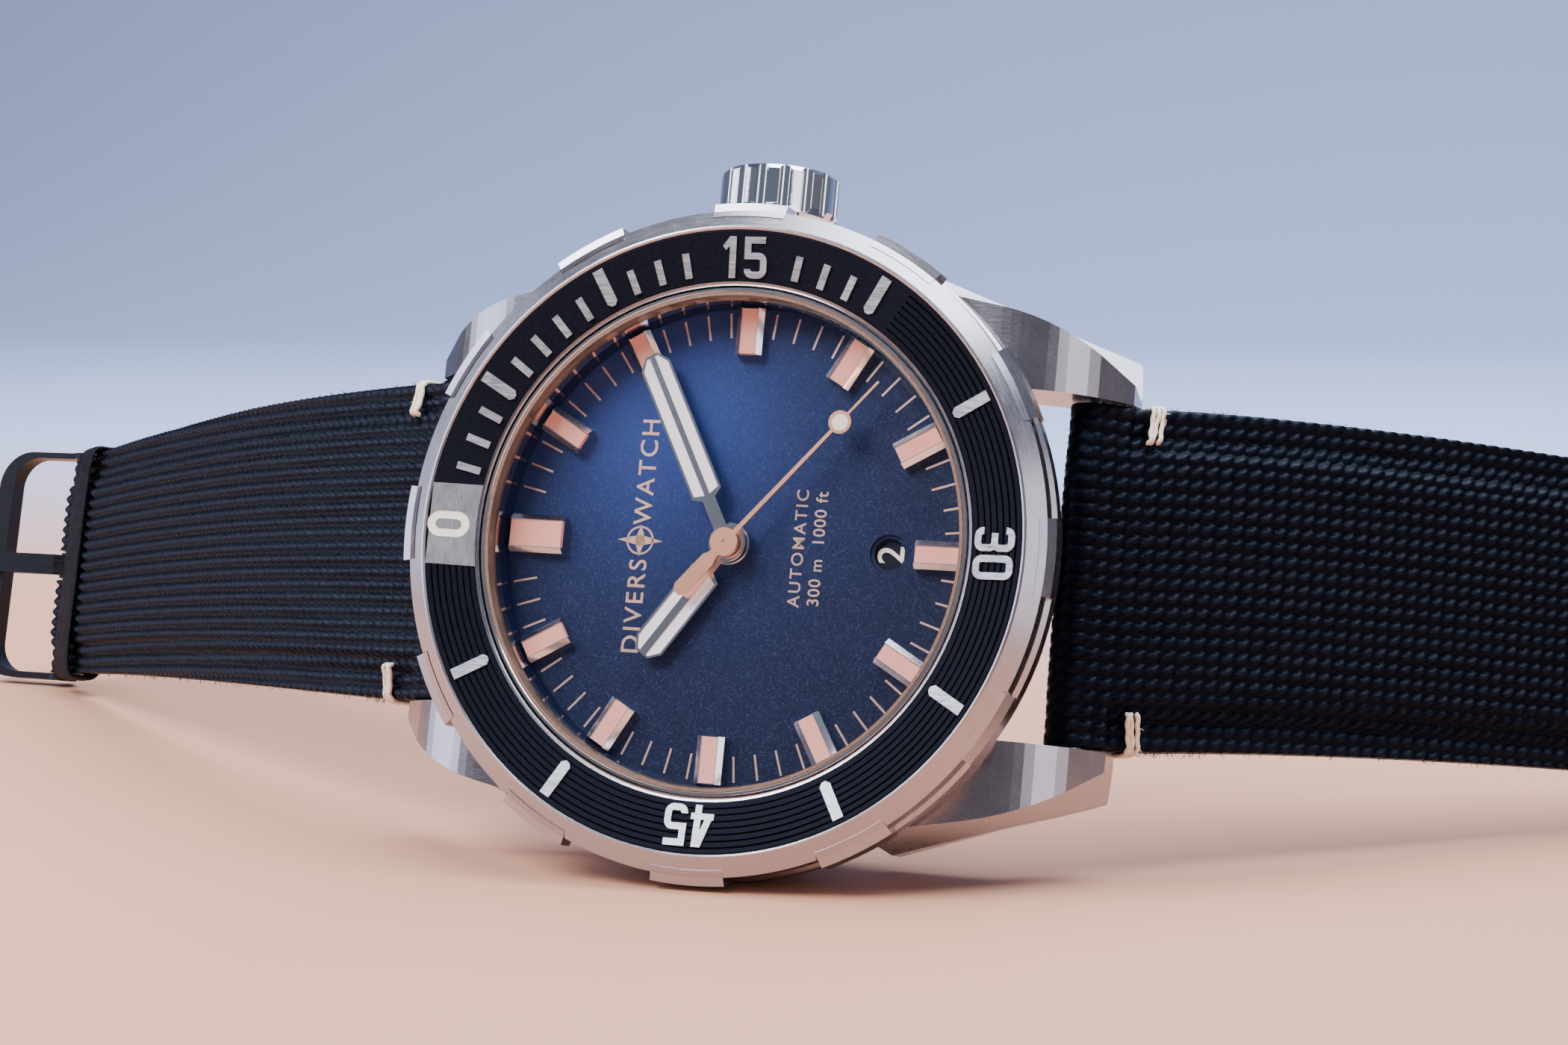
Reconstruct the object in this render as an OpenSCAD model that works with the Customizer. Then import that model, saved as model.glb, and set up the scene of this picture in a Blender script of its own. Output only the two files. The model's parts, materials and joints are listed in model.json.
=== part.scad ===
// Dive watch standing on its side, crown up, leaning back on its open strap.
// The head is drawn in its own axes: X from 12 to 6, Y from 9 to 3, Z out of the dial,
// with Z = 0 at the outer ends of the bezel marks. stand() then sets it on the table.

/* [Stance] */
// How far the dial leans back from upright, degrees
lean = 14.4; // [14.4:0.1:14.4]
// Roll of the head about the dial axis, degrees
roll = -1.3; // [-1.3:0.1:-1.3]

/* [Case] */
// Bezel diameter over its grip tabs
bezel_d = 42; // [42:0.1:42.4]
// Diameter of the case barrel
case_d = 38.9; // [38.5:0.1:38.9]
// Gap between the lugs
lug_gap = 21.4; // [21.4:0.1:21.6]
// Distance between the lug tips, 12 to 6
lug_to_lug = 46.6; // [46.4:0.1:46.8]
// Distance of a spring bar from the dial axis
bar_reach = 20.8; // [20.75:0.05:20.85]
// Height of the spring bars below the bezel marks
bar_drop = 9.15; // [9.1:0.05:9.2]
// Thickness of the whole head below the bezel marks
head_depth = 12; // [11.9:0.1:12.2]

/* [Crown] */
// Crown diameter over its flutes
crown_d = 7.5; // [7:0.1:7.5]
// Number of flutes round the crown
flutes = 16; // [12:1:18]
// Height of the stem axis below the bezel marks
stem_drop = 6; // [6:0.05:6.05]

/* [Dial and hands] */
// Dial diameter
dial_d = 31.2; // [31:0.1:31.2]
// Length of the minute hand
minute_len = 13; // [12:0.1:13.2]
// Length of the hour hand
hour_len = 8.7; // [8:0.1:9.5]
// Length of the seconds hand to its tip
second_len = 13.6; // [12.5:0.1:13.8]
// Minutes shown
shown_minute = 10.33; // [0:0.01:59.99]
// Hours shown
shown_hour = 10.17; // [0:0.01:11.99]
// Seconds shown
shown_second = 21.8; // [0:0.1:59.9]

/* [Strap] */
// Strap width at the lugs
strap_w = 21.1; // [21:0.1:21.2]
// Strap width at the buckle
buckle_end_w = 18.2; // [18.1:0.1:18.3]
// Strap width at the free tip
tip_w = 17.5; // [17:0.1:17.5]
// Strap thickness at the lugs
strap_t = 3.2; // [3:0.1:3.2]
// Strap thickness at the buckle and tip
strap_end_t = 2.2; // [2:0.1:2.4]

/* [Hidden] */
$fn = 96;
eps = 0.01;

steel = [0.76, 0.76, 0.78];
bright = [0.88, 0.89, 0.92];
brass = [0.83, 0.70, 0.42];
gold = [0.80, 0.55, 0.42];
lume = [0.93, 0.88, 0.78];
navy = [0.06, 0.09, 0.20];
black = [0.04, 0.04, 0.06];
gunmetal = [0.16, 0.16, 0.17];
ruby = [0.70, 0.08, 0.20];
pink = [0.86, 0.62, 0.58];

// Where the bezel centre stands over the middle of the footprint
stand_x = -19.083;
stand_y = -27.525;
stand_z = 20.93;

// Heights in the head, all below the bezel marks
bezel_edge_z = -0.67;
bezel_foot_z = -4.2;
seat_z = -4.3;
barrel_foot_z = -8.4;
back_joint_z = -10.1;
glass_top_z = -0.12;
glass_foot_z = -1.4;
dial_z = -3.3;
dial_t = 0.4;
plate_top_z = -4.1;
plate_foot_z = -6.2;
bridge_foot_z = -7.95;
bridge_top_z = -8.5;
rotor_z = -8.78;
stem_z = -stem_drop;
bar_z = -bar_drop;
back_z = -head_depth;

// Radii in the head
bezel_r = bezel_d / 2;
rim_r = bezel_r - 0.52;
rim_in_r = 19.15;
lip_out_r = 15.97;
lip_in_r = 15.75;
retainer_r = 15.67;
flange_r = 16.1;
glass_r = 15.15;
neck_r = 17.5;
case_r = case_d / 2;
cavity_r = 17.05;
plate_r = 12.8;
bar_r = 0.9;
lug_in = lug_gap / 2;
insert_slope = atan2(0.46, rim_in_r - lip_out_r);

// Bezel marks: full marks, half marks and the ribbed sector, in minutes
long_marks = [5, 10, 20, 25, 35, 40, 50, 55];
short_marks = [2, 3, 4, 6, 7, 8, 9, 11, 12, 13, 17, 18, 19];
plate_half_w = 2.55;
rib_from_min = 20.9;
rib_count = 7;

// Going train: tooth counts and modules
seconds_teeth = 84;
seconds_m = 0.065;
escape_leaves = 7;
third_teeth = 60;
third_m = 0.09;
centre_leaves = 8;
great_teeth = 64;
great_m = 0.1;
third_leaves = 8;
barrel_teeth = 72;
barrel_m = 0.115;
great_leaves = 12;
cannon_teeth = 12;
minute_teeth = 36;
minute_m = 0.1;
minute_leaves = 10;
hour_teeth = 40;
hour_m = 0.096;
crown_teeth = 25;
ratchet_teeth = 42;
wind_m = 0.2;

// Train levels between plate and bridge
level_a = -6.62;
level_b = -7.08;
level_c = -7.5;
wheel_t = 0.25;
pivot_r = 0.1;
hole_r = 0.14;

// Train positions in the plate
third_at = polar(3.06, -110);
barrel_at = polar(7.2, 161.5);
great_at = meet(third_at, 3.6, barrel_at, 4.83, 1);
escape_at = polar(2.9575, 5);
balance_at = polar(7.85, -45);
pallet_at = escape_at + 2.4 * unit(balance_at - escape_at);
wind_reach = (crown_teeth + ratchet_teeth) * wind_m / 2;
crown_wheel_x = -0.5;
crown_wheel_at = [
    crown_wheel_x, barrel_at[1] + sqrt(pow(wind_reach, 2) - pow(crown_wheel_x - barrel_at[0], 2))
];
minute_at = polar(2.4, 60);
pinion_y = crown_wheel_at[1] + crown_teeth * wind_m / 2;

// Strap routes from the spring bars: arcs of [length, turn in degrees, steps]
short_arcs = [[12, -5, 4], [22, -8, 5], [41, -3, 6]];
short_head = -29;
long_arcs = [[12, -8, 4], [20, -3, 4], [30, 33, 8], [52, 14, 8]];
long_head = -30;
bar_at = [bar_reach, bar_z];
buckle_tilt = -5;

// Sideways drift of each open strap half where the table pushes it: [start, run, swell, rest]
short_drift = [24, 52, 1.6, 1.5];
long_drift = [23, 102, 11.5, 1];
function drift(x, d) =
    let (t = min(1, max(0, (x - d[0]) / d[1])))
    d[2] * t * pow(1 - t, 2) + d[3] * t * t * (3 - 2 * t);

function polar(r, a) = r * [cos(a), sin(a)];
function unit(v) = v / norm(v);
function bearing(p, q) = atan2(q[1] - p[1], q[0] - p[0]);

// Point at distance rp from p and rq from q, on the chosen side of the line p to q
function meet(p, rp, q, rq, side) =
    let (d = norm(q - p), a = (rp * rp - rq * rq + d * d) / (2 * d), w = unit(q - p))
    p + a * w + side * sqrt(rp * rp - a * a) * [-w[1], w[0]];

// A point and a heading after length l that turns by a degrees
function chord(l, a) = abs(a) < 0.01 ? l : l * sin(a / 2) / (a / 2 * PI / 180);
function along(p, h, l, a) = p + chord(l, a) * [cos(h + a / 2), sin(h + a / 2)];
function route(arcs, p, h, i = 0) =
    i == len(arcs) ? [[p, h]] :
    let (l = arcs[i][0], a = arcs[i][1], n = arcs[i][2])
    concat(
        [for (k = [0 : n - 1]) [along(p, h, l * k / n, a * k / n), h + a * k / n]],
        route(arcs, along(p, h, l, a), h + a, i + 1)
    );
function off(station, d) = station[0] + d * [-sin(station[1]), cos(station[1])];

short_route = route(short_arcs, bar_at, short_head);
long_route = route(long_arcs, bar_at, long_head);
short_end = short_route[len(short_route) - 1];
keeper_back = 5.2;
keeper_station = [short_end[0] - keeper_back * [cos(short_end[1]), sin(short_end[1])], short_end[1]];
buckle_at = short_end[0];

module stand() {
    translate([stand_x, stand_y, stand_z])
        rotate([90 - lean, 0, 0])
            rotate([0, 0, roll])
                children();
}

// Turns +X to a minute on the dial
module at_minute(m) {
    rotate([0, 0, 180 - 6 * m]) children();
}

// Lays a profile drawn in X and Z flat along Y, centred
module across(w) {
    rotate([90, 0, 0]) linear_extrude(w, center = true) children();
}

module ring(r_in, r_out, z_low, z_high) {
    rotate_extrude()
        translate([r_in, z_low]) square([r_out - r_in, z_high - z_low]);
}

module disc(p, r, z_low, z_high) {
    translate([p[0], p[1], z_low]) cylinder(r = r, h = z_high - z_low);
}

// Flat outline of a spur gear with straight-sided teeth; one tooth points at the phase angle
module gear_outline(teeth, m, phase) {
    pitch = 360 / teeth;
    r = teeth * m / 2;
    polygon([
        for (i = [0 : teeth - 1], c = [[-0.31, -1.1], [-0.13, 0.85], [0.13, 0.85], [0.31, -1.1]])
            polar(r + c[1] * m, phase + (i + c[0]) * pitch)
    ]);
}

module gear(p, teeth, m, z_low, t, phase) {
    translate([p[0], p[1], z_low]) linear_extrude(t) gear_outline(teeth, m, phase);
}

// A spoked wheel with its toothed rim
module spoked_gear(p, teeth, m, z_low, t, phase, hub_r) {
    r = teeth * m / 2;
    difference() {
        gear(p, teeth, m, z_low, t, phase);
        translate([p[0], p[1], z_low - eps])
            linear_extrude(t + 2 * eps)
                difference() {
                    circle(r = r * 0.8);
                    circle(r = hub_r);
                    for (k = [0 : 1])
                        rotate(45 + 90 * k) square([2 * r, r * 0.13], center = true);
                }
    }
}

// ---------- case ----------

lug_tip = lug_to_lug / 2;
lug_from = 15;
lug_fall = 4.6;
lug_curl = 2.5;
lug_steps = 11;
facet_from = 0.78;

// Front of a lug: a curve that steepens outward, with one flat facet left at the tip
function lug_front(u) =
    [lug_from + (lug_tip - 0.15 - lug_from) * u, seat_z - lug_fall * pow(u, lug_curl)];

module lug_side() {
    polygon(concat(
        [[8, seat_z]],
        [for (k = [0 : lug_steps]) lug_front(facet_from * k / lug_steps)],
        [
            lug_front(1), [lug_tip, -10.5], [lug_tip - 0.5, -11.8], [lug_tip - 1.5, -12.1],
            [19.9, -11.6], [17, -10.1], [8, -9.9]
        ]
    ));
}

module lug_plan() {
    polygon([
        [8, lug_in], [lug_tip, lug_in], [lug_tip, 13.2], [lug_tip - 0.5, 13.7], [10.6, 18], [8, 16.5]
    ]);
}

module lug() {
    difference() {
        intersection() {
            rotate([90, 0, 0]) linear_extrude(40, center = true) lug_side();
            translate([0, 0, -20]) linear_extrude(20) lug_plan();
        }
        // Long polished chamfer on the outer edge
        translate([12.2, 16.35, seat_z])
            rotate([0, 15, -18.5])
                rotate([-28, 0, 0])
                    translate([-6, 0, -3]) cube([24, 6, 9]);
        translate([bar_reach, lug_in - eps, bar_z])
            rotate([-90, 0, 0]) cylinder(r = 0.5, h = 1.6);
    }
}

module case_middle() {
    color(steel) stand() difference() {
        union() {
            rotate_extrude() polygon([
                [15.65, -2.2], [neck_r, -2.2], [neck_r, seat_z], [case_r - 0.2, seat_z],
                [case_r, seat_z - 0.2], [case_r, barrel_foot_z], [18.5, back_joint_z],
                [cavity_r, back_joint_z], [cavity_r, -3.75], [15.65, -3.75]
            ]);
            for (x = [0, 1], y = [0, 1])
                mirror([x, 0, 0]) mirror([0, y, 0])
                    difference() {
                        lug();
                        translate([0, 0, -20]) cylinder(r = case_r - 1, h = 20);
                    }
        }
        ring(17.8, 19.3, seat_z - 0.45, seat_z + eps);
        translate([0, 16.5, stem_z]) rotate([-90, 0, 0]) cylinder(r = 1.65, h = 3.5);
        for (x = [-1, 1])
            translate([x * bar_reach, 0, bar_z])
                rotate([90, 0, 0]) cylinder(r = 2.1, h = lug_gap, center = true);
    }
}

module case_back() {
    color(steel) stand() difference() {
        rotate_extrude() polygon([
            [0, -9.8], [16.2, -9.8], [16.2, -9.3], [cavity_r - 0.05, -9.3],
            [cavity_r - 0.05, back_joint_z], [17.9, back_joint_z], [17.9, -10.9],
            [16.6, -11.4], [15.6, -11.5], [15.2, back_z], [0, back_z]
        ]);
        for (k = [0 : 5])
            rotate([0, 0, 60 * k]) translate([16.4, -1, back_z]) cube([2, 2, 1.2]);
        ring(12.6, 12.9, back_z - eps, back_z + 0.15);
    }
}

module back_gasket() {
    color(black) stand() ring(16.25, 16.95, -9.28, -8.95);
}

module crown_tube() {
    color(bright) stand() translate([0, 17.2, stem_z]) rotate([-90, 0, 0]) difference() {
        cylinder(r = 1.65, h = 5);
        translate([0, 0, -eps]) cylinder(r = 1, h = 5.1);
    }
}

module spring_bars() {
    color(steel) stand() for (x = [-1, 1])
        translate([x * bar_reach, 0, bar_z]) rotate([90, 0, 0]) union() {
            cylinder(r = bar_r, h = lug_gap - 0.2, center = true);
            cylinder(r = 0.45, h = lug_gap + 2.6, center = true);
        }
}

module crystal() {
    color([0.8, 0.9, 1, 0.3]) stand() rotate_extrude() polygon([
        [0, glass_top_z], [glass_r - 0.45, glass_top_z], [glass_r, glass_top_z - 0.35],
        [glass_r, glass_foot_z], [0, glass_foot_z]
    ]);
}

module crystal_gasket() {
    color([0.75, 0.7, 0.6]) stand() ring(glass_r, glass_r + 0.2, glass_foot_z, -0.55);
}

module crystal_retainer() {
    color(bright) stand() rotate_extrude() polygon([
        [glass_r + 0.2, -0.6], [glass_r + 0.28, -0.5], [retainer_r - 0.08, -0.5], [retainer_r, -0.62],
        [retainer_r, -1.68], [flange_r, -1.68], [flange_r, -2.18], [glass_r - 0.15, -2.18],
        [glass_r - 0.15, glass_foot_z], [glass_r + 0.2, glass_foot_z]
    ]);
}

module rehaut() {
    color(navy) stand() rotate_extrude() polygon([
        [15.02, -2.2], [15.6, -2.2], [15.6, dial_z], [14.85, dial_z]
    ]);
}

// Flat open ring with three raised clicks that ride under the bezel
module click_spring() {
    color(steel) stand() union() {
        difference() {
            ring(17.9, 19.2, seat_z - 0.43, seat_z - 0.25);
            translate([-2.2, 16, seat_z - 1]) cube([4.4, 5, 2]);
        }
        for (k = [0 : 2])
            rotate([0, 0, 120 * k + 20]) translate([18.1, -0.8, seat_z - 0.3]) cube([0.9, 1.6, 0.34]);
    }
}

// ---------- bezel ----------

module bezel_tab() {
    rotate([0, 0, -6.5]) rotate_extrude(angle = 13) polygon([
        [rim_r - 0.4, -0.35], [rim_r, bezel_edge_z], [bezel_r, -0.86], [bezel_r, -2.3],
        [rim_r - 0.4, -2.3]
    ]);
}

module bezel_ring() {
    color(steel) stand() union() {
        rotate_extrude() polygon([
            [lip_in_r, -0.55], [lip_in_r + 0.08, -0.44], [lip_out_r, -0.4], [lip_out_r, -1.3],
            [rim_in_r, -1.3], [rim_in_r, 0.04], [rim_in_r + 0.12, 0.12], [rim_in_r + 0.25, 0.06],
            [rim_r, bezel_edge_z], [rim_r, -1.9], [rim_r - 0.3, -2.1], [rim_r - 0.3, -2.4],
            [rim_r + 0.14, -2.75], [rim_r + 0.14, -3.8], [rim_r - 0.2, bezel_foot_z],
            [neck_r + 0.06, bezel_foot_z], [neck_r + 0.06, -2.1], [flange_r + 0.1, -2.1],
            [flange_r + 0.1, -1.6], [lip_in_r, -1.6]
        ]);
        for (k = [0 : 11]) rotate([0, 0, 30 * k]) bezel_tab();
    }
}

// Height of the insert's sloping face at a radius
function insert_z(r) = -0.42 + (r - lip_out_r) * tan(insert_slope);

// One fine groove cut into the sloping face, at a radius
module groove_section(r) {
    polygon([[r - 0.12, insert_z(r) + 0.1], [r + 0.12, insert_z(r) + 0.1], [r, insert_z(r) - 0.12]]);
}

module bezel_insert() {
    pitch = (rim_in_r - lip_out_r - 0.4) / rib_count;
    color(black) stand() difference() {
        rotate_extrude() polygon([
            [lip_out_r, -1.3], [rim_in_r, -1.3], [rim_in_r, insert_z(rim_in_r) - 0.06],
            [rim_in_r - 0.1, insert_z(rim_in_r)], [lip_out_r + 0.1, insert_z(lip_out_r)],
            [lip_out_r, insert_z(lip_out_r) - 0.06]
        ]);
        for (i = [0 : rib_count - 1])
            at_minute(60) rotate_extrude(angle = 6 * (60 - rib_from_min))
                groove_section(lip_out_r + 0.2 + (i + 0.5) * pitch);
        translate([-rim_in_r - 1, -plate_half_w, -2]) cube([4.8, 2 * plate_half_w, 3]);
    }
}

// A raised bar laid on the sloping insert, its inner end pointed when long
module bezel_mark(r_in, r_out, w, pointed) {
    mid = (r_in + r_out) / 2;
    half = (r_out - r_in) / 2;
    cut = pointed ? w * 0.32 : 0.02;
    translate([mid, 0, insert_z(mid)]) rotate([0, -insert_slope, 0])
        translate([0, 0, -0.2]) linear_extrude(0.3) polygon([
            [-half, -w / 2 + cut], [-half + cut, -w / 2], [half, -w / 2], [half, w / 2],
            [-half + cut, w / 2], [-half, w / 2 - cut]
        ]);
}

// Numerals drawn from strokes in one cell, foot at the origin
digit_w = 1.45;
digit_h = 2.56;
stroke = 0.42;
digit_corner = 0.55;
numeral_r = 17.43;
numeral_gap = 0.22;

module block(x0, y0, x1, y1) {
    translate([x0, y0]) square([x1 - x0, y1 - y0]);
}

module rounded_cell(x0, y0, x1, y1, r) {
    block(x0 + r, y0, x1 - r, y1);
    block(x0, y0 + r, x1, y1 - r);
    for (x = [x0 + r, x1 - r], y = [y0 + r, y1 - r]) translate([x, y]) circle(r = r);
}

// Closed loop of one stroke between two heights
module loop(y0, y1) {
    difference() {
        rounded_cell(0, y0, digit_w, y1, digit_corner);
        rounded_cell(stroke, y0 + stroke, digit_w - stroke, y1 - stroke, digit_corner - stroke);
    }
}

module digit_zero() {
    loop(0, digit_h);
}

module digit_one() {
    block(0.7, 0, 0.7 + stroke, digit_h);
    polygon([[0.25, digit_h - 0.6], [0.7, digit_h], [0.7, digit_h - 0.6], [0.45, digit_h - 0.85]]);
}

module digit_three() {
    middle = digit_h / 2;
    difference() {
        union() {
            loop(middle - stroke / 2, digit_h);
            loop(0, middle + stroke / 2);
        }
        block(-eps, stroke + 0.15, digit_w / 2, middle - stroke / 2);
        block(-eps, middle + stroke / 2, digit_w / 2, digit_h - stroke - 0.15);
        block(-eps, middle - stroke, 0.35, middle + stroke);
    }
}

module digit_four() {
    block(0.8, 0, 0.8 + stroke, digit_h);
    block(0, 0.5, digit_w, 0.5 + stroke * 0.9);
    polygon([[0, 0.5], [0.45, 0.5], [1.1, digit_h], [0.65, digit_h]]);
}

module digit_five() {
    bowl = digit_h * 0.62;
    block(0, digit_h - stroke, digit_w - 0.1, digit_h);
    block(0, bowl - stroke, stroke, digit_h);
    difference() {
        loop(0, bowl);
        block(-eps, stroke + 0.15, digit_w / 2, bowl - stroke);
    }
}

// Two numerals side by side, tops outward, centred on +X
module numeral_pair() {
    translate([numeral_r, 0, insert_z(numeral_r)]) rotate([0, -insert_slope, 0]) rotate([0, 0, -90])
        translate([0, -digit_h / 2, -0.2]) linear_extrude(0.3) {
            translate([-digit_w - numeral_gap / 2, 0]) children(0);
            translate([numeral_gap / 2, 0]) children(1);
        }
}

module bezel_markers() {
    color(bright) stand() union() {
        for (m = long_marks) at_minute(m) bezel_mark(16.38, 18.85, 0.7, true);
        for (m = short_marks) at_minute(m) bezel_mark(16.38, 17.95, 0.46, false);
        at_minute(15) numeral_pair() {
            digit_one();
            digit_five();
        }
        at_minute(30) numeral_pair() {
            digit_three();
            digit_zero();
        }
        at_minute(45) numeral_pair() {
            digit_four();
            digit_five();
        }
    }
}

// Rounded slot outline lying along X
module slot_outline(l, w) {
    for (x = [-1, 1]) translate([x * (l - w) / 2, 0]) circle(d = w);
    square([l - w, w], center = true);
}

module zero_plate() {
    color(steel) stand() at_minute(0) difference() {
        intersection() {
            rotate_extrude() polygon([
                [lip_out_r, -1.3], [rim_in_r, -1.3], [rim_in_r, 0.05], [lip_out_r, -0.38]
            ]);
            translate([lip_out_r - 1, -plate_half_w, -2]) cube([4, 2 * plate_half_w, 3]);
        }
        translate([17.75, 0, -0.55]) linear_extrude(1) difference() {
            slot_outline(2.7, 1.62);
            slot_outline(1.65, 0.62);
        }
    }
}

module zero_lume() {
    color(lume) stand() at_minute(0) intersection() {
        translate([17.75, 0, -0.55]) linear_extrude(1) difference() {
            slot_outline(2.7, 1.62);
            slot_outline(1.65, 0.62);
        }
        rotate_extrude() polygon([
            [lip_out_r, -1.3], [rim_in_r, -1.3], [rim_in_r, 0.02], [lip_out_r, -0.41]
        ]);
    }
}

// ---------- dial ----------

date_at = 10.05;
date_r = 0.98;
index_h = 0.82;

module dial() {
    color(navy) stand() difference() {
        translate([0, 0, dial_z - dial_t]) cylinder(d = dial_d, h = dial_t);
        translate([0, 0, dial_z - 1]) cylinder(r = 1.12, h = 2);
        translate([date_at, 0, dial_z - 1]) cylinder(r = date_r, h = 2);
        translate([date_at, 0, dial_z - 0.16]) cylinder(r = date_r + 0.22, h = 1);
    }
}

// Bevelled index frame with a channel for lume, lying on +X
module index_frame(r_in, r_out, w) {
    difference() {
        intersection() {
            translate([r_in, -w / 2, dial_z]) cube([r_out - r_in, w, index_h]);
            translate([r_in - 1, 0, dial_z]) rotate([90, 0, 90]) linear_extrude(r_out - r_in + 2) polygon([
                [-w / 2, 0], [w / 2, 0], [w / 2, index_h - 0.3], [w / 2 - 0.32, index_h],
                [0.32 - w / 2, index_h], [-w / 2, index_h - 0.3]
            ]);
        }
        translate([r_in - 1, 0.36 - w / 2, dial_z + index_h - 0.3]) cube([r_out - r_in + 2, w - 0.72, 1]);
    }
}

module index_fill(r_in, r_out, w) {
    translate([r_in + 0.05, 0.36 - w / 2, dial_z + index_h - 0.3]) cube([r_out - r_in - 0.1, w - 0.72, 0.26]);
}

module dial_indices() {
    color(bright) stand() union() {
        for (h = [1 : 11]) at_minute(5 * h) index_frame(11.85, 14.78, 1.75);
        at_minute(0) index_frame(11.05, 14.6, 2.4);
    }
}

module index_lume() {
    color(pink) stand() union() {
        for (h = [1 : 11]) at_minute(5 * h) index_fill(11.85, 14.78, 1.75);
        at_minute(0) index_fill(11.05, 14.6, 2.4);
    }
}

module date_ring() {
    color(navy) stand() difference() {
        ring(8.3, 11.9, -4.02, -3.78);
        for (k = [0 : 30])
            rotate([0, 0, 360 / 31 * (k + 0.5)]) translate([8.2, -0.35, -4.2]) cube([0.55, 0.7, 1]);
    }
}

// ---------- hands ----------

// Faceted hand blade along +X with two lume channels either side of a centre rib
module blade_outline(base, tip, w, neck) {
    polygon([
        [base, -neck / 2], [base + 0.35, -w / 2], [tip - 0.75, -w / 2], [tip, -w * 0.22],
        [tip, w * 0.22], [tip - 0.75, w / 2], [base + 0.35, w / 2], [base, neck / 2]
    ]);
}

module channel_outline(base, tip, w, rib) {
    edge = 0.15;
    for (s = [-1, 1]) scale([1, s]) polygon([
        [base + 0.3, rib / 2], [base + 0.5, w / 2 - edge], [tip - 0.8, w / 2 - edge],
        [tip - edge, w * 0.22 - 0.04], [tip - edge, rib / 2]
    ]);
}

module hand(base, tip, w, rib, neck, z_low, t, hub_r, bore) {
    difference() {
        union() {
            translate([0, 0, z_low]) linear_extrude(t) {
                blade_outline(base, tip, w, neck);
                translate([0, -neck / 2]) square([base + 0.1, neck]);
            }
            translate([0, 0, z_low]) cylinder(r = hub_r, h = t);
        }
        translate([0, 0, z_low + 0.06]) linear_extrude(1) channel_outline(base, tip, w, rib);
        translate([0, 0, z_low - 1]) cylinder(r = bore, h = 2);
    }
}

module hand_fill(base, tip, w, rib, z_low, t) {
    translate([0, 0, z_low + 0.06]) linear_extrude(t - 0.1) channel_outline(base, tip, w, rib);
}

hour_z = -2.82;
minute_z = -2.32;
second_z = -1.92;
hour_min = shown_hour * 5;

module hour_hand() {
    color(bright) stand() at_minute(hour_min)
        hand(2.0, hour_len, 2.15, 0.5, 0.8, hour_z, 0.25, 1.32, 0.95);
}

module hour_lume() {
    color(lume) stand() at_minute(hour_min) hand_fill(2.0, hour_len, 2.15, 0.5, hour_z, 0.25);
}

module minute_hand() {
    color(bright) stand() at_minute(shown_minute)
        hand(3.0, minute_len, 2.0, 0.36, 0.85, minute_z, 0.22, 1.15, 0.68);
}

module minute_lume() {
    color(lume) stand() at_minute(shown_minute) hand_fill(3.0, minute_len, 2.0, 0.36, minute_z, 0.22);
}

lume_at = 10.2;

module seconds_hand() {
    color(gold) stand() at_minute(shown_second) difference() {
        union() {
            translate([0, 0, second_z]) linear_extrude(0.16) {
                polygon([[0, -0.15], [lume_at, -0.11], [lume_at, 0.11], [0, 0.15]]);
                translate([lume_at, -0.08]) square([second_len - lume_at, 0.16]);
                translate([lume_at, 0]) circle(r = 0.72);
                polygon([
                    [0, -0.2], [-1.1, -0.3], [-1.5, -0.48], [-4.0, -0.48], [-4.35, -0.22],
                    [-4.35, 0.22], [-4.0, 0.48], [-1.5, 0.48], [-1.1, 0.3], [0, 0.2]
                ]);
            }
            translate([0, 0, second_z]) cylinder(r = 0.88, h = 0.34);
        }
        translate([lume_at, 0, second_z - 1]) cylinder(r = 0.52, h = 2);
        translate([0, 0, second_z - 1]) cylinder(r = 0.3, h = 1.2);
        translate([0, 0, second_z + 0.28]) cylinder(r = 0.12, h = 1);
    }
}

module seconds_lume() {
    color(lume) stand() at_minute(shown_second)
        translate([lume_at, 0, second_z + 0.03]) cylinder(r = 0.52, h = 0.11);
}

// ---------- movement ----------

module movement_ring() {
    color(brass) stand() difference() {
        ring(plate_r + 0.1, cavity_r - 0.05, -8.6, -3.76);
        translate([0, 0, stem_z]) rotate([-90, 0, 0]) cylinder(r = 0.9, h = 20);
    }
}

train_holes = [third_at, great_at, escape_at, pallet_at, balance_at];

module main_plate() {
    color(bright) stand() difference() {
        translate([0, 0, plate_foot_z]) cylinder(r = plate_r, h = plate_top_z - plate_foot_z);
        translate([0, 0, -4.72]) cylinder(r = 4.4, h = 1);
        translate([0, 0, -7]) cylinder(r = 0.75, h = 4);
        for (p = train_holes) disc(p, hole_r, -7, -5.2);
        disc(barrel_at, 0.45, -7, -5.2);
        disc(crown_wheel_at, 0.3, -7, -5.2);
        translate([0, 4.5, stem_z]) rotate([-90, 0, 0]) cylinder(r = 0.6, h = 12);
        translate([0, pinion_y - 1, stem_z]) rotate([-90, 0, 0]) cylinder(r = 1.72, h = 2);
        disc(minute_at, 0.2, -4.72 - 0.6, -4);
    }
}

// Outline shared by the upper bridges: the whole plate less the balance
module bridge_area() {
    difference() {
        circle(r = plate_r - 0.1);
        translate(balance_at) circle(r = 4.4);
    }
}

// The wall that carries the bridges, open for the stem and the balance
module bridge_wall() {
    difference() {
        bridge_area();
        circle(r = plate_r - 1);
        translate([0, 10]) square([4, 10], center = true);
    }
}

// The side of the plate that the barrel bridge covers
module barrel_side(grow = 0) {
    translate([-20, -20]) square([20.7 + grow, 40]);
}

// A slab between the bridge levels with a wall down to the plate
module slab_and_wall() {
    translate([0, 0, bridge_top_z]) linear_extrude(bridge_foot_z - bridge_top_z) children(0);
    translate([0, 0, bridge_foot_z - eps]) linear_extrude(plate_foot_z - bridge_foot_z + eps) children(1);
}

module jewel_seats(places) {
    for (p = places) disc(p, 0.5, -9, -7);
}

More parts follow.
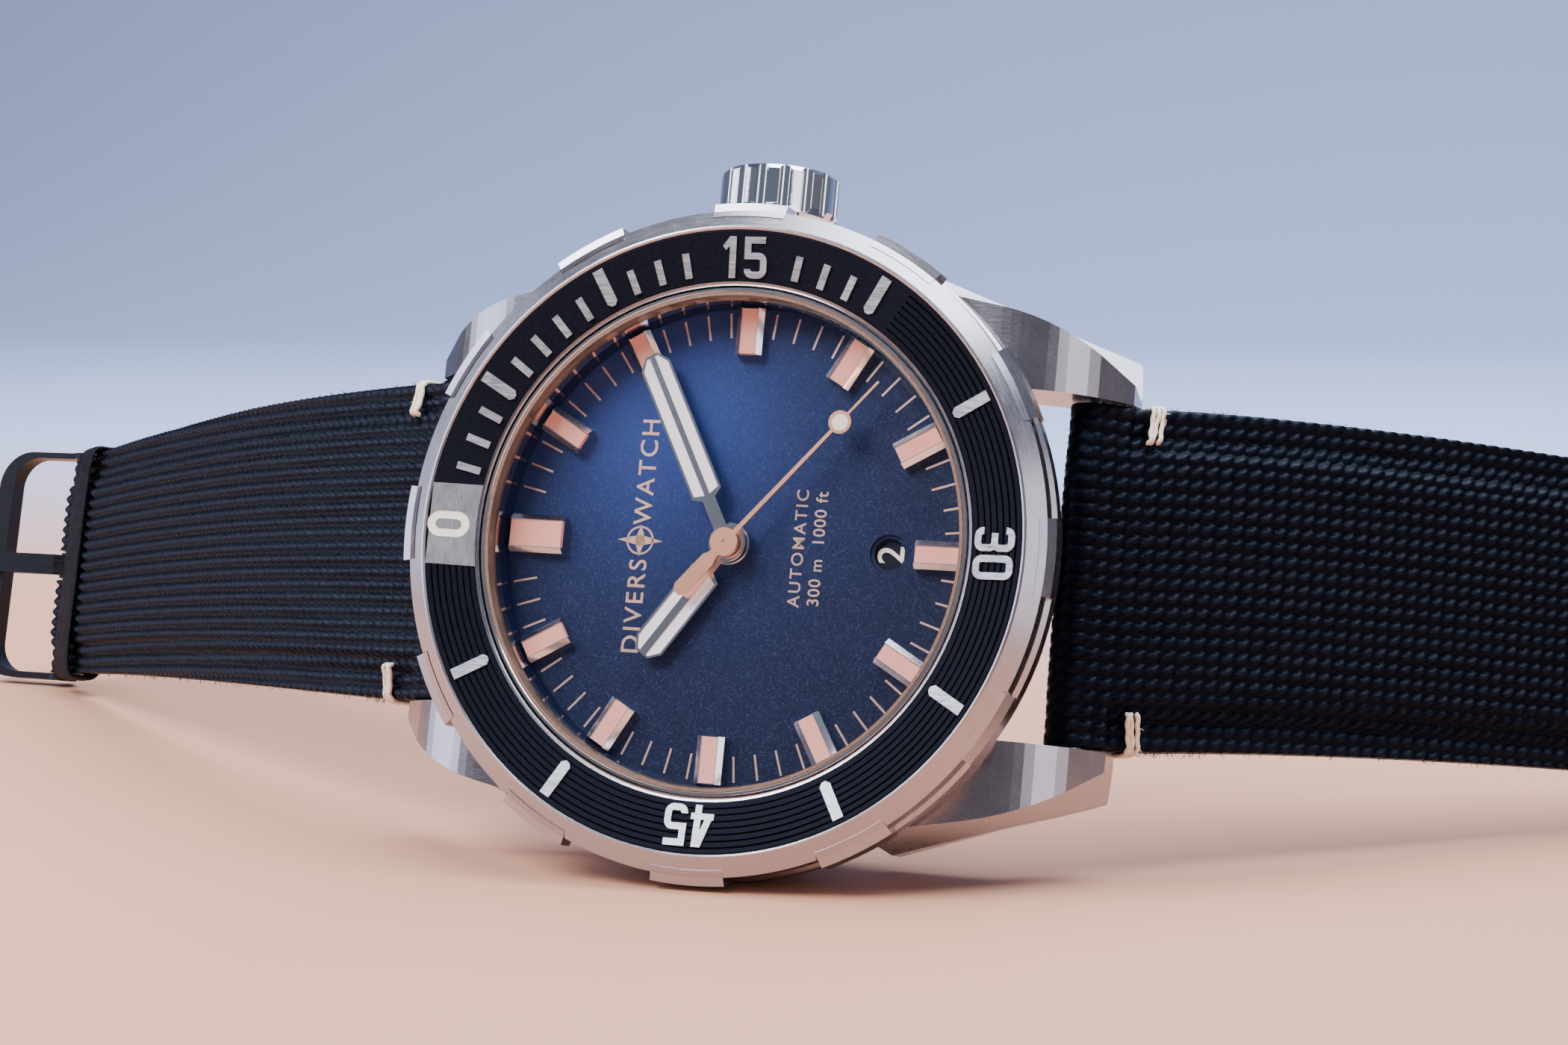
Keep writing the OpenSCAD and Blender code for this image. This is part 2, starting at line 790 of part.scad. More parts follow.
barrel_screws = [for (a = [140, 190, 240]) polar(11.6, a)];
train_screws = [for (a = [20, 60]) polar(11.6, a)];
cock_turn = -45;
cock_screw = polar(12.1, cock_turn);

module screw_seats(places) {
    for (p = places) {
        disc(p, 0.8, bridge_top_z - 1, bridge_top_z + 0.28);
        disc(p, 0.4, bridge_top_z - 1, plate_foot_z - 1);
    }
}

module barrel_bridge() {
    color(bright) stand() difference() {
        slab_and_wall() {
            intersection() {
                bridge_area();
                barrel_side();
            }
            intersection() {
                bridge_wall();
                barrel_side();
            }
        }
        disc(barrel_at, 0.45, -9, -7);
        disc(crown_wheel_at, 0.3, -9, -7);
        jewel_seats([great_at, third_at, [0, 0]]);
        screw_seats(barrel_screws);
    }
}

module train_bridge() {
    color(bright) stand() difference() {
        slab_and_wall() {
            difference() {
                bridge_area();
                barrel_side(0.15);
                cock_foot(0.15);
            }
            difference() {
                bridge_wall();
                barrel_side(0.15);
                cock_foot(0.15);
            }
        }
        jewel_seats([escape_at, pallet_at]);
        screw_seats(train_screws);
    }
}

// Pad at the plate's edge that the balance cock stands on
module cock_foot(grow = 0) {
    intersection() {
        circle(r = plate_r - 0.1 + grow);
        rotate(cock_turn) translate([11.55 - grow, -2.4 - grow]) square([2, 4.8 + 2 * grow]);
    }
}

// Arm over the balance, on a foot at the plate's edge
module balance_cock() {
    color(bright) stand() difference() {
        union() {
            translate([0, 0, bridge_top_z]) linear_extrude(bridge_foot_z - bridge_top_z) {
                translate(balance_at) circle(r = 1.2);
                rotate(cock_turn) translate([norm(balance_at), -0.9]) square([4, 1.8]);
                cock_foot();
            }
            translate([0, 0, bridge_foot_z - eps])
                linear_extrude(plate_foot_z - bridge_foot_z + eps) cock_foot();
        }
        disc(balance_at, 0.5, -9, -7);
        disc(cock_screw, 0.5, bridge_top_z - 1, bridge_top_z + 0.2);
        disc(cock_screw, 0.28, bridge_top_z, plate_foot_z - 1);
    }
}

// Pierced ruby bearings pressed into the bridges
module jewels() {
    color(ruby) stand() for (p = concat(train_holes, [[0, 0]]))
        difference() {
            disc(p, 0.5, bridge_top_z + 0.1, bridge_foot_z);
            disc(p, hole_r, bridge_top_z - 1, bridge_foot_z + 1);
        }
}

module screw(p, head_r, head_t, shank_r, shank_z) {
    difference() {
        union() {
            disc(p, head_r, bridge_top_z - 0.02, bridge_top_z - 0.02 + head_t);
            disc(p, shank_r, bridge_top_z, shank_z);
        }
        translate([p[0], p[1], bridge_top_z]) cube([2 * head_r + 1, 0.18, 0.24], center = true);
    }
}

module movement_screws() {
    color([0.25, 0.35, 0.75]) stand() union() {
        for (p = concat(barrel_screws, train_screws)) screw(p, 0.75, 0.26, 0.35, -7.9);
        screw(cock_screw, 0.45, 0.18, 0.25, -7.9);
    }
}

// Fixed race and post on the bridge that the rotor turns on
module rotor_bearing() {
    color(steel) stand() union() {
        ring(0.6, 1.4, rotor_z - 0.38 + 0.1, bridge_top_z);
        ring(0.6, 1.9, rotor_z + 0.06, bridge_top_z);
    }
}

// Bearing of straight down on the leaning head, where the free rotor hangs
rotor_hang = -88.7;

// Half-disc winding weight with a heavy rim, centred on a ball race
module rotor() {
    color(brass) stand() difference() {
        union() {
            rotate([0, 0, rotor_hang - 90]) {
                rotate_extrude(angle = 180)
                    translate([1, rotor_z - 0.3]) square([11.3, 0.3]);
                rotate_extrude(angle = 180)
                    translate([10.7, rotor_z - 0.75]) square([1.6, 0.75]);
            }
            disc([0, 0], 3.1, rotor_z - 0.3, rotor_z);
        }
        disc([0, 0], 1.46, -12, -8);
        for (k = [0 : 2])
            rotate([0, 0, rotor_hang + 45 * (k - 1)]) translate([6.5, 0, -12]) cylinder(r = 1.3, h = 5);
    }
}

module arbor(p, r, z_low, z_high) {
    disc(p, r, z_low, z_high);
    disc(p, pivot_r, bridge_top_z + 0.12, -5.7);
}

// ---------- going train ----------

third_phase = bearing(third_at, [0, 0]);

module seconds_wheel() {
    color(brass) stand() union() {
        spoked_gear([0, 0], seconds_teeth, seconds_m, level_c, wheel_t, bearing([0, 0], escape_at), 0.4);
        gear([0, 0], centre_leaves, third_m, level_b - 0.03, wheel_t + 0.06,
            third_phase + 180 + 180 / centre_leaves);
        disc([0, 0], 0.24, bridge_foot_z + 0.05, second_z + 0.18);
        disc([0, 0], 0.12, bridge_top_z + 0.1, -7);
    }
}

module third_wheel() {
    color(brass) stand() union() {
        spoked_gear(third_at, third_teeth, third_m, level_b, wheel_t, third_phase, 0.35);
        gear(third_at, third_leaves, great_m, level_a - 0.03, wheel_t + 0.06,
            bearing(third_at, great_at) + 180 / third_leaves);
        arbor(third_at, 0.2, bridge_foot_z + 0.05, plate_foot_z - 0.05);
    }
}

module great_wheel() {
    color(brass) stand() union() {
        spoked_gear(great_at, great_teeth, great_m, level_a, wheel_t, bearing(great_at, third_at), 0.4);
        gear(great_at, great_leaves, barrel_m, level_c - 0.03, wheel_t + 0.06,
            bearing(great_at, barrel_at) + 180 / great_leaves);
        arbor(great_at, 0.25, bridge_foot_z + 0.05, plate_foot_z - 0.05);
    }
}

module barrel() {
    color(brass) stand() difference() {
        union() {
            gear(barrel_at, barrel_teeth, barrel_m, level_c, wheel_t, bearing(barrel_at, great_at));
            disc(barrel_at, 3.7, level_c, -6.78);
            disc(barrel_at, 0.4, bridge_top_z + 0.05, -5.6);
        }
        difference() {
            disc(barrel_at, 3.5, level_c + 0.14, -6.92);
            disc(barrel_at, 0.55, level_c, -6.78);
        }
    }
}

// Wound spring strip as a flat spiral from arbor to barrel wall
module spiral(p, r_in, r_out, turns, w, z_low, t) {
    steps = 20;
    n = round(turns * steps);
    translate([p[0], p[1], z_low]) linear_extrude(t) polygon(concat(
        [for (i = [0 : n]) polar(r_in + (r_out - r_in) * i / n + w, 360 * i / steps)],
        [for (i = [n : -1 : 0]) polar(r_in + (r_out - r_in) * i / n, 360 * i / steps)]
    ));
}

module mainspring() {
    color([0.5, 0.55, 0.62]) stand() spiral(barrel_at, 0.62, 3.3, 7, 0.12, level_c + 0.18, 0.36);
}

module escape_wheel() {
    color(steel) stand() union() {
        translate([escape_at[0], escape_at[1], level_b]) linear_extrude(0.2) difference() {
            polygon([
                for (i = [0 : 19], c = [[0, 1.9], [1.5, 1.86], [6, 1.45], [14, 1.45]])
                    polar(c[1], 18 * i + c[0])
            ]);
            difference() {
                circle(r = 1.2);
                circle(r = 0.35);
                for (a = [0, 90]) rotate(a) square([3, 0.18], center = true);
            }
        }
        gear(escape_at, escape_leaves, seconds_m, level_c - 0.03, wheel_t + 0.06,
            bearing(escape_at, [0, 0]) + 180 / escape_leaves);
        arbor(escape_at, 0.14, bridge_foot_z + 0.05, plate_foot_z - 0.05);
    }
}

// Anchor arms round the escape wheel and a fork towards the balance
module pallet_fork() {
    line = bearing(pallet_at, escape_at);
    reach = norm(balance_at - pallet_at);
    color(steel) stand() translate([pallet_at[0], pallet_at[1], 0]) rotate([0, 0, line]) union() {
        translate([0, 0, level_b + 0.02]) linear_extrude(0.16) {
            for (s = [-1, 1]) {
                polygon([
                    [0, -0.12 * s], [0.25, 0], [0.75, 1.25 * s], [0.6, 1.4 * s], [0.35, 1.3 * s],
                    [0, 0.2 * s]
                ]);
            }
            polygon([[0, -0.16], [0, 0.16], [0.9 - reach, 0.11], [0.9 - reach, -0.11]]);
            circle(r = 0.3);
        }
        for (s = [-1, 1])
            translate([0.68, 1.3 * s, level_b]) rotate([0, 0, 35 * s]) cube([0.3, 0.16, 0.2]);
        translate([0, 0, bridge_foot_z + 0.05]) cylinder(r = 0.14, h = plate_foot_z - bridge_foot_z - 0.1);
        translate([0, 0, bridge_top_z + 0.12]) cylinder(r = pivot_r, h = 2.7);
    }
}

module balance_wheel() {
    color(brass) stand() union() {
        translate([balance_at[0], balance_at[1], level_c - 0.02]) linear_extrude(0.32) {
            difference() {
                circle(r = 3.4);
                circle(r = 2.95);
            }
            circle(r = 0.45);
            for (a = [15, 75, 135]) rotate(a) square([6.2, 0.3], center = true);
        }
        for (k = [0 : 7])
            translate([balance_at[0], balance_at[1], level_c + 0.04])
                rotate([0, 0, 45 * k + 8]) translate([3.35, 0, 0])
                    rotate([0, 90, 0]) cylinder(r = 0.12, h = 0.2);
        disc(balance_at, 0.6, level_b - 0.12, level_b + 0.02);
        disc(balance_at + polar(0.45, 135), 0.08, level_b, level_b + 0.2);
        arbor(balance_at, 0.16, bridge_foot_z + 0.05, plate_foot_z - 0.05);
    }
}

module hairspring() {
    color([0.35, 0.45, 0.75]) stand() union() {
        spiral(balance_at, 0.32, 1.9, 8, 0.05, bridge_foot_z + 0.1, 0.12);
        difference() {
            disc(balance_at, 0.34, bridge_foot_z + 0.08, bridge_foot_z + 0.28);
            disc(balance_at, 0.17, -9, -7);
        }
    }
}

// ---------- motion work ----------

module cannon_pinion() {
    color(steel) stand() difference() {
        union() {
            gear([0, 0], cannon_teeth, minute_m, -4.62, 0.27, bearing([0, 0], minute_at) + 15);
            disc([0, 0], 0.5, -5.6, -4.5);
            disc([0, 0], 0.66, -4.4, minute_z - 0.02);
        }
        disc([0, 0], 0.3, -8, 0);
    }
}

module hour_wheel() {
    color(brass) stand() difference() {
        union() {
            gear([0, 0], hour_teeth, hour_m, -4.22, wheel_t, bearing([0, 0], minute_at));
            disc([0, 0], 0.93, -4.1, hour_z - 0.02);
        }
        disc([0, 0], 0.72, -8, 0);
    }
}

module minute_wheel() {
    color(brass) stand() union() {
        gear(minute_at, minute_teeth, minute_m, -4.6, 0.23, bearing(minute_at, [0, 0]));
        gear(minute_at, minute_leaves, hour_m, -4.25, 0.3, bearing(minute_at, [0, 0]) + 18);
        disc(minute_at, 0.16, -5.2, -3.9);
    }
}

// ---------- winding work ----------

module ratchet_wheel() {
    color(steel) stand() difference() {
        gear(barrel_at, ratchet_teeth, wind_m, -7.87, 0.24, bearing(barrel_at, crown_wheel_at));
        disc(barrel_at, 0.44, -9, -7);
    }
}

module crown_wheel() {
    color(steel) stand() union() {
        mesh = bearing(crown_wheel_at, barrel_at) + 180 / crown_teeth;
        gear(crown_wheel_at, crown_teeth, wind_m, -7.87, 0.24, mesh);
        disc(crown_wheel_at, 0.26, bridge_top_z + 0.05, -5.8);
    }
}

module winding_pinion() {
    color(steel) stand() translate([0, pinion_y - 0.6, stem_z]) rotate([-90, 0, 0]) difference() {
        linear_extrude(1.2) gear_outline(12, 0.23, 0);
        translate([0, 0, -1]) cylinder(r = 0.5, h = 4);
    }
}

module winding_stem() {
    color(steel) stand() translate([0, 5.2, stem_z]) rotate([-90, 0, 0]) cylinder(r = 0.44, h = 17.2);
}

crown_face_y = 21.1;
crown_end_y = 24;

module crown() {
    r = crown_d / 2;
    color(bright) stand() translate([0, 0, stem_z]) rotate([-90, 0, 0]) difference() {
        rotate_extrude() polygon([
            [0.44, crown_face_y - 1.2], [0.94, crown_face_y - 1.2], [0.94, crown_face_y + 1.3],
            [1.78, crown_face_y + 1.3], [1.78, crown_face_y], [r - 0.35, crown_face_y],
            [r, crown_face_y + 0.35], [r, crown_end_y - 0.35], [r - 0.3, crown_end_y - 0.05],
            [r - 0.75, crown_end_y - 0.05], [r - 0.85, crown_end_y], [2, crown_end_y + 0.2],
            [0, crown_end_y + 0.3], [0, crown_face_y + 1.5], [0.44, crown_face_y + 1.5]
        ]);
        for (k = [0 : flutes - 1])
            rotate([0, 0, 360 / flutes * k])
                translate([r + 0.12, 0, crown_face_y - 1]) cylinder(r = 0.42, h = 3.85);
    }
}

module crown_gasket() {
    color(black) stand() translate([0, 22.21, stem_z]) rotate([-90, 0, 0]) difference() {
        cylinder(r = 1.6, h = 0.17);
        translate([0, 0, -1]) cylinder(r = 1.02, h = 3);
    }
}

// ---------- strap ----------

// Side outline of a strap layer between two shares of the thickness, thinning along the route
module layer_side(stations, skip, low, high) {
    n = len(stations) - 1;
    picked = [for (i = [skip : n]) i];
    polygon(concat(
        [for (i = picked) off(stations[i], high * (strap_t + (strap_end_t - strap_t) * i / n))],
        [for (i = [len(picked) - 1 : -1 : 0])
            off(stations[picked[i]], low * (strap_t + (strap_end_t - strap_t) * picked[i] / n))]
    ));
}

// Long edge of a strap half seen along the dial axis, on one side of its middle
plan_steps = 10;
function strap_edge(far, end_w, tip, d, side) =
    let (from = bar_reach + 6, run = far - tip - from)
    concat(
        [[bar_reach - strap_t / 2 - 0.1, side * strap_w / 2], [bar_reach + 3, side * strap_w / 2]],
        [for (k = [0 : plan_steps])
            let (x = from + run * k / plan_steps)
            [x, drift(x, d) + side * (strap_w + (end_w - strap_w) * k / plan_steps) / 2]],
        tip > 0 ? [[far, drift(far, d) + side * (end_w / 2 - tip)]] : []
    );

module strap_plan(far, end_w, tip, d) {
    left = strap_edge(far, end_w, tip, d, -1);
    right = strap_edge(far, end_w, tip, d, 1);
    translate([0, 0, -80]) linear_extrude(100)
        polygon(concat(left, [for (i = [len(right) - 1 : -1 : 0]) right[i]]));
}

module layer(stations, end_w, tip, d, skip, low, high) {
    intersection() {
        across(strap_w + 6) layer_side(stations, skip, low, high);
        strap_plan(stations[len(stations) - 1][0][0] + 2 * (1 - min(tip, 1)), end_w, tip, d);
    }
}

module bar_eye(r, w) {
    translate([bar_reach, 0, bar_z]) rotate([90, 0, 0]) cylinder(r = r, h = w, center = true);
}

module at_buckle() {
    translate([buckle_at[0], drift(buckle_at[0], short_drift), buckle_at[1]]) children();
}

module strap_short() {
    color(black) stand() mirror([1, 0, 0]) difference() {
        union() {
            layer(short_route, buckle_end_w, 0, short_drift, 0, -0.04, 0.5);
            bar_eye(strap_t / 2, strap_w);
            at_buckle() rotate([90, 0, 0]) cylinder(r = 1.35, h = buckle_end_w, center = true);
        }
        bar_eye(bar_r + 0.08, 40);
        at_buckle() rotate([90, 0, 0]) cylinder(r = 0.83, h = 40, center = true);
        at_buckle() rotate([0, -short_end[1], 0]) translate([-4.5, -1.3, -4]) cube([9, 2.6, 8]);
    }
}

module strap_short_lining() {
    color([0.10, 0.09, 0.09]) stand() mirror([1, 0, 0]) difference() {
        layer(short_route, buckle_end_w, 0, short_drift, 1, -0.5, -0.04);
        at_buckle() rotate([90, 0, 0]) cylinder(r = 1.35, h = 40, center = true);
        at_buckle() rotate([0, -short_end[1], 0]) translate([-4.5, -1.3, -4]) cube([9, 2.6, 8]);
    }
}

module strap_keeper() {
    p = keeper_station[0];
    color(black) stand() mirror([1, 0, 0]) translate([p[0], drift(p[0], short_drift), p[1]])
        rotate([0, -keeper_station[1], 0]) difference() {
            translate([-2.1, -9.9, -1.65]) cube([4.2, 19.8, 3.55]);
            translate([-3, -9.36, -1.2]) cube([6, 18.72, 2.65]);
        }
}

module strap_holes() {
    for (k = [0 : 6]) {
        station = long_route[len(long_route) - 8 + k];
        translate([station[0][0], drift(station[0][0], long_drift), station[0][1]])
            rotate([0, -station[1], 0])
                cylinder(r = 1, h = 10, center = true);
    }
}

module strap_long() {
    color(black) stand() difference() {
        union() {
            layer(long_route, tip_w, 6, long_drift, 0, -0.04, 0.5);
            bar_eye(strap_t / 2, strap_w);
        }
        bar_eye(bar_r + 0.08, 40);
        strap_holes();
    }
}

module strap_long_lining() {
    color([0.10, 0.09, 0.09]) stand() difference() {
        layer(long_route, tip_w, 6, long_drift, 1, -0.5, -0.04);
        strap_holes();
    }
}

// ---------- buckle ----------

buckle_half_w = 9.7;
buckle_reach = 8.3;
buckle_t = 1.5;
buckle_cheek = 0.5;

module buckle_place() {
    color(gunmetal) stand() mirror([1, 0, 0]) at_buckle() rotate([0, -buckle_tilt, 0]) children();
}

module rounded_block(x0, x1, half_w, r) {
    translate([x0, -half_w]) square([x1 - x0 - r, 2 * half_w]);
    translate([x0, -half_w + r]) square([x1 - x0, 2 * (half_w - r)]);
    for (s = [-1, 1]) translate([x1 - r, s * (half_w - r)]) circle(r = r);
}

module buckle_frame() {
    buckle_place() difference() {
        union() {
            translate([0, 0, -buckle_t / 2]) linear_extrude(buckle_t) difference() {
                rounded_block(0, buckle_reach, buckle_half_w, 3.2);
                rounded_block(-1, buckle_reach - 1.45, buckle_half_w - buckle_cheek, 2.5);
            }
            for (s = [-1, 1])
                translate([0, s * (buckle_half_w - buckle_cheek / 2), 0]) rotate([90, 0, 0])
                    cylinder(r = 1.2, h = buckle_cheek, center = true);
        }
        rotate([90, 0, 0]) cylinder(r = 0.4, h = 40, center = true);
    }
}

module buckle_bar() {
    buckle_place() union() {
        rotate([90, 0, 0]) cylinder(r = 0.75, h = 2 * (buckle_half_w - buckle_cheek - 0.1), center = true);
        rotate([90, 0, 0]) cylinder(r = 0.36, h = 2 * buckle_half_w - 0.1, center = true);
    }
}

module buckle_tongue() {
    buckle_place() difference() {
        union() {
            rotate([90, 0, 0]) cylinder(r = 1.25, h = 2.1, center = true);
            across(1.7) polygon([
                [0, 0.5], [1.4, 0.85], [buckle_reach - 0.6, 0.85], [buckle_reach + 0.1, 0.8],
                [buckle_reach, 1.35], [buckle_reach - 1, 1.55], [1.2, 1.5], [0, 1.2]
            ]);
        }
        rotate([90, 0, 0]) cylinder(r = 0.81, h = 40, center = true);
    }
}

case_middle();
case_back();
back_gasket();
crown_tube();
spring_bars();
crystal();
crystal_gasket();
crystal_retainer();
rehaut();
click_spring();
bezel_ring();
bezel_insert();
bezel_markers();
zero_plate();
zero_lume();
dial();
dial_indices();
index_lume();
movement_ring();
main_plate();
barrel_bridge();
train_bridge();
balance_cock();
jewels();
movement_screws();
rotor_bearing();
seconds_hand();
seconds_lume();
seconds_wheel();
minute_hand();
minute_lume();
cannon_pinion();
hour_hand();
hour_lume();
hour_wheel();
minute_wheel();
third_wheel();
great_wheel();
barrel();
mainspring();
escape_wheel();
pallet_fork();
balance_wheel();
hairspring();
rotor();
ratchet_wheel();
crown_wheel();
winding_pinion();
winding_stem();
crown();
crown_gasket();
date_ring();
strap_short();
strap_short_lining();
strap_keeper();
strap_long();
strap_long_lining();
buckle_frame();
buckle_bar();
buckle_tongue();
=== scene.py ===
"""Looks of a dive watch standing on its side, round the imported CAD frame.

Materials, dial print, woven strap, thread tacks, stage, camera and light.
"""
import json
import math
from collections import namedtuple

import bpy
import numpy as np
from mathutils import Matrix, Vector


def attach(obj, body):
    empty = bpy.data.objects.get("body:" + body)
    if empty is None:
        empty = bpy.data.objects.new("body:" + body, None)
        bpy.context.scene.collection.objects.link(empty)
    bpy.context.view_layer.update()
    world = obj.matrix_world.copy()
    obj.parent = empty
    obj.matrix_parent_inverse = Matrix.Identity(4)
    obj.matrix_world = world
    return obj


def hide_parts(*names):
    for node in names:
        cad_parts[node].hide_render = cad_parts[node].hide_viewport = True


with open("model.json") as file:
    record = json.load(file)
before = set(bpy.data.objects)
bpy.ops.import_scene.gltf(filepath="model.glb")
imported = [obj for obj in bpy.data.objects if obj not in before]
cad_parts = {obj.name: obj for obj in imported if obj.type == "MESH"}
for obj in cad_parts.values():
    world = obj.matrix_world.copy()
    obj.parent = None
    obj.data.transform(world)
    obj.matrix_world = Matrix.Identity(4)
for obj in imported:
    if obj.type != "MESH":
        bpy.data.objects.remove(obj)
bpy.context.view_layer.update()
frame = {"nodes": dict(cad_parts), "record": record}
record = frame["record"]

MM = 0.001

# ---------- the head's own axes: X to 6 o'clock, Y to 3 o'clock, Z out of the dial, in mm ----------


def joint(name):
    return next(j for j in record["behaviour"]["joints"] if j["name"] == name)


axis_z = -Vector(joint("bezel_turn")["axis"]).normalized()
axis_y = Vector(joint("short_strap_swing")["axis"]).normalized()
axis_x = axis_y.cross(axis_z).normalized()
centre = Vector(joint("bezel_turn")["pos_m"]) + axis_z * MM
AXES = Matrix((axis_x, axis_y, axis_z)).transposed().to_4x4()
WATCH = Matrix.Translation(centre) @ AXES @ Matrix.Scale(MM, 4)
WATCH_NP = np.array(WATCH)


def to_row(points):
    """Points in the head's axes, in mm, as points in the row frame, in metres."""
    points = np.asarray(points, float)
    return points @ WATCH_NP[:3, :3].T + WATCH_NP[:3, 3]


def minute_turn(minute):
    """Rotation that takes +X to a minute on the dial."""
    return Matrix.Rotation(math.radians(180 - 6 * minute), 4, "Z")


def piece(name, points, faces, body, slot, material, smooth=True, uv=None):
    """A mesh given in the head's axes that rides on a body."""
    mesh = bpy.data.meshes.new(name)
    mesh.from_pydata(to_row(points).tolist(), [], faces)
    if uv is not None:
        layer = mesh.uv_layers.new(name="UVMap")
        loops = np.empty(len(mesh.loops), np.int32)
        mesh.loops.foreach_get("vertex_index", loops)
        layer.data.foreach_set("uv", np.asarray(uv, np.float32)[loops].ravel())
    mesh.polygons.foreach_set("use_smooth", [smooth] * len(mesh.polygons))
    mesh.update()
    made = bpy.data.objects.new(name, mesh)
    bpy.context.collection.objects.link(made)
    made.data.materials.append(material)
    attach(made, body)
    return made


# ---------- node helpers ----------

def add(tree, kind, sockets=None, **settings):
    made = tree.nodes.new(kind)
    for key, value in settings.items():
        setattr(made, key, value)
    for key, value in (sockets or {}).items():
        if isinstance(value, bpy.types.NodeSocket):
            tree.links.new(value, made.inputs[key])
        else:
            made.inputs[key].default_value = value
    return made


def calc(tree, operation, a, b=0.0, c=0.0):
    return add(tree, "ShaderNodeMath", {0: a, 1: b, 2: c}, operation=operation).outputs[0]


def square(tree, value):
    return calc(tree, "MULTIPLY", value, value)


def vector_calc(tree, operation, a, b):
    return add(tree, "ShaderNodeVectorMath", {0: a, 1: b}, operation=operation).outputs[0]


def noise(tree, vector, scale, detail=3.0, roughness=0.6):
    return add(tree, "ShaderNodeTexNoise", {
        "Vector": vector, "Scale": scale, "Detail": detail, "Roughness": roughness,
    }).outputs[0]


def spread(tree, value, low, high, from_low=0.3, from_high=0.7):
    """A value mapped to low..high, clamped; the default input range is a noise's middle."""
    return add(tree, "ShaderNodeMapRange", {
        "Value": value, "From Min": from_low, "From Max": from_high, "To Min": low, "To Max": high,
    }).outputs[0]


def mix(tree, factor, a, b, blend="MIX"):
    made = tree.nodes.new("ShaderNodeMix")
    made.data_type = "RGBA"
    made.blend_type = blend
    for key, value in ((0, factor), (6, a), (7, b)):
        if isinstance(value, bpy.types.NodeSocket):
            tree.links.new(value, made.inputs[key])
        else:
            made.inputs[key].default_value = value if key == 0 else (*value, 1.0)
    return made.outputs[2]


def shader(name, colour, metallic=0.0, roughness=0.5, **more):
    """A new material with its tree and surface node; further sockets are given by name."""
    material = bpy.data.materials.new(name)
    material.use_nodes = True
    tree = material.node_tree
    surface = tree.nodes["Principled BSDF"]
    surface.inputs["Base Color"].default_value = (*colour, 1.0)
    surface.inputs["Metallic"].default_value = metallic
    surface.inputs["Roughness"].default_value = roughness
    for key, value in more.items():
        surface.inputs[key.replace("_", " ")].default_value = value
    return material, tree, surface


def watch_mm(tree):
    """Position in the head's axes, in mm, following the piece as it turns."""
    place = add(tree, "ShaderNodeTexCoord").outputs["Object"]
    mapping = add(tree, "ShaderNodeMapping", {"Vector": place}, vector_type="TEXTURE")
    mapping.inputs["Location"].default_value = WATCH.translation
    mapping.inputs["Rotation"].default_value = WATCH.to_3x3().normalized().to_euler()
    mapping.inputs["Scale"].default_value = (MM, MM, MM)
    return mapping.outputs[0]


def polar_mm(tree):
    """(radius, angle, height) about the dial axis, in mm and radians."""
    parts = add(tree, "ShaderNodeSeparateXYZ", {0: watch_mm(tree)}).outputs
    radius = calc(tree, "SQRT", calc(tree, "ADD", square(tree, parts[0]), square(tree, parts[1])))
    return radius, calc(tree, "ARCTAN2", parts[1], parts[0]), parts[2]


def bumped(tree, surface, height, distance, strength=1.0):
    bump = add(tree, "ShaderNodeBump", {"Height": height, "Distance": distance * MM, "Strength": strength})
    tree.links.new(bump.outputs[0], surface.inputs["Normal"])


# Noise repeats per mm along the head's axes, and about the dial axis per mm, radian and mm
GRAINS = {"x": (0.5, 9.0, 9.0), "y": (9.0, 0.5, 9.0), "even": (6.0, 6.0, 6.0)}
RING_GRAIN = (11.0, 7.0, 9.0)


def metal(name, colour, roughness, grain="even", swing=0.08, depth=0.004, tint=0.06, scale=1.0):
    """A metal with drawn lines along an axis, rings about the dial axis, or an even fine grain."""
    material, tree, surface = shader(name, colour, 1.0, roughness)
    if grain == "ring":
        vector = add(tree, "ShaderNodeCombineXYZ", {
            k: calc(tree, "MULTIPLY", part, RING_GRAIN[k]) for k, part in enumerate(polar_mm(tree))
        }).outputs[0]
    else:
        vector = vector_calc(tree, "MULTIPLY", watch_mm(tree), GRAINS[grain])
    lines = noise(tree, vector, scale, 4.0, 0.65)
    cloud = noise(tree, watch_mm(tree), 0.6, 2.0)
    worn = spread(tree, cloud, roughness - swing / 3, roughness + swing / 3)
    tree.links.new(calc(tree, "ADD", spread(tree, lines, -swing, swing), worn), surface.inputs["Roughness"])
    dark = tuple(c * (1 - 2 * tint) for c in colour)
    tree.links.new(mix(tree, spread(tree, lines, 0.0, 1.0), dark, colour), surface.inputs["Base Color"])
    bumped(tree, surface, lines, depth)
    return material


def coat(name, colour, roughness, speck=0.15, depth=0.01, scale=5.0, metallic=0.0, **more):
    """A paint, plastic or rubber with fine specks."""
    material, tree, surface = shader(name, colour, metallic, roughness, **more)
    grain = noise(tree, watch_mm(tree), scale, 4.0)
    light = tuple(min(1.0, c * (1 + speck) + speck * 0.02) for c in colour)
    dark = tuple(c * (1 - speck) for c in colour)
    tree.links.new(mix(tree, spread(tree, grain, 0.0, 1.0), dark, light), surface.inputs["Base Color"])
    tree.links.new(spread(tree, grain, roughness - 0.06, roughness + 0.06), surface.inputs["Roughness"])
    bumped(tree, surface, grain, depth)
    return material


STEEL = (0.40, 0.375, 0.41)
BRIGHT = (0.80, 0.81, 0.86)
ROSE = (0.90, 0.46, 0.30)
BRASS = (0.80, 0.62, 0.34)
COOL_TINT = (0.5, 0.6, 1.0, 1.0)

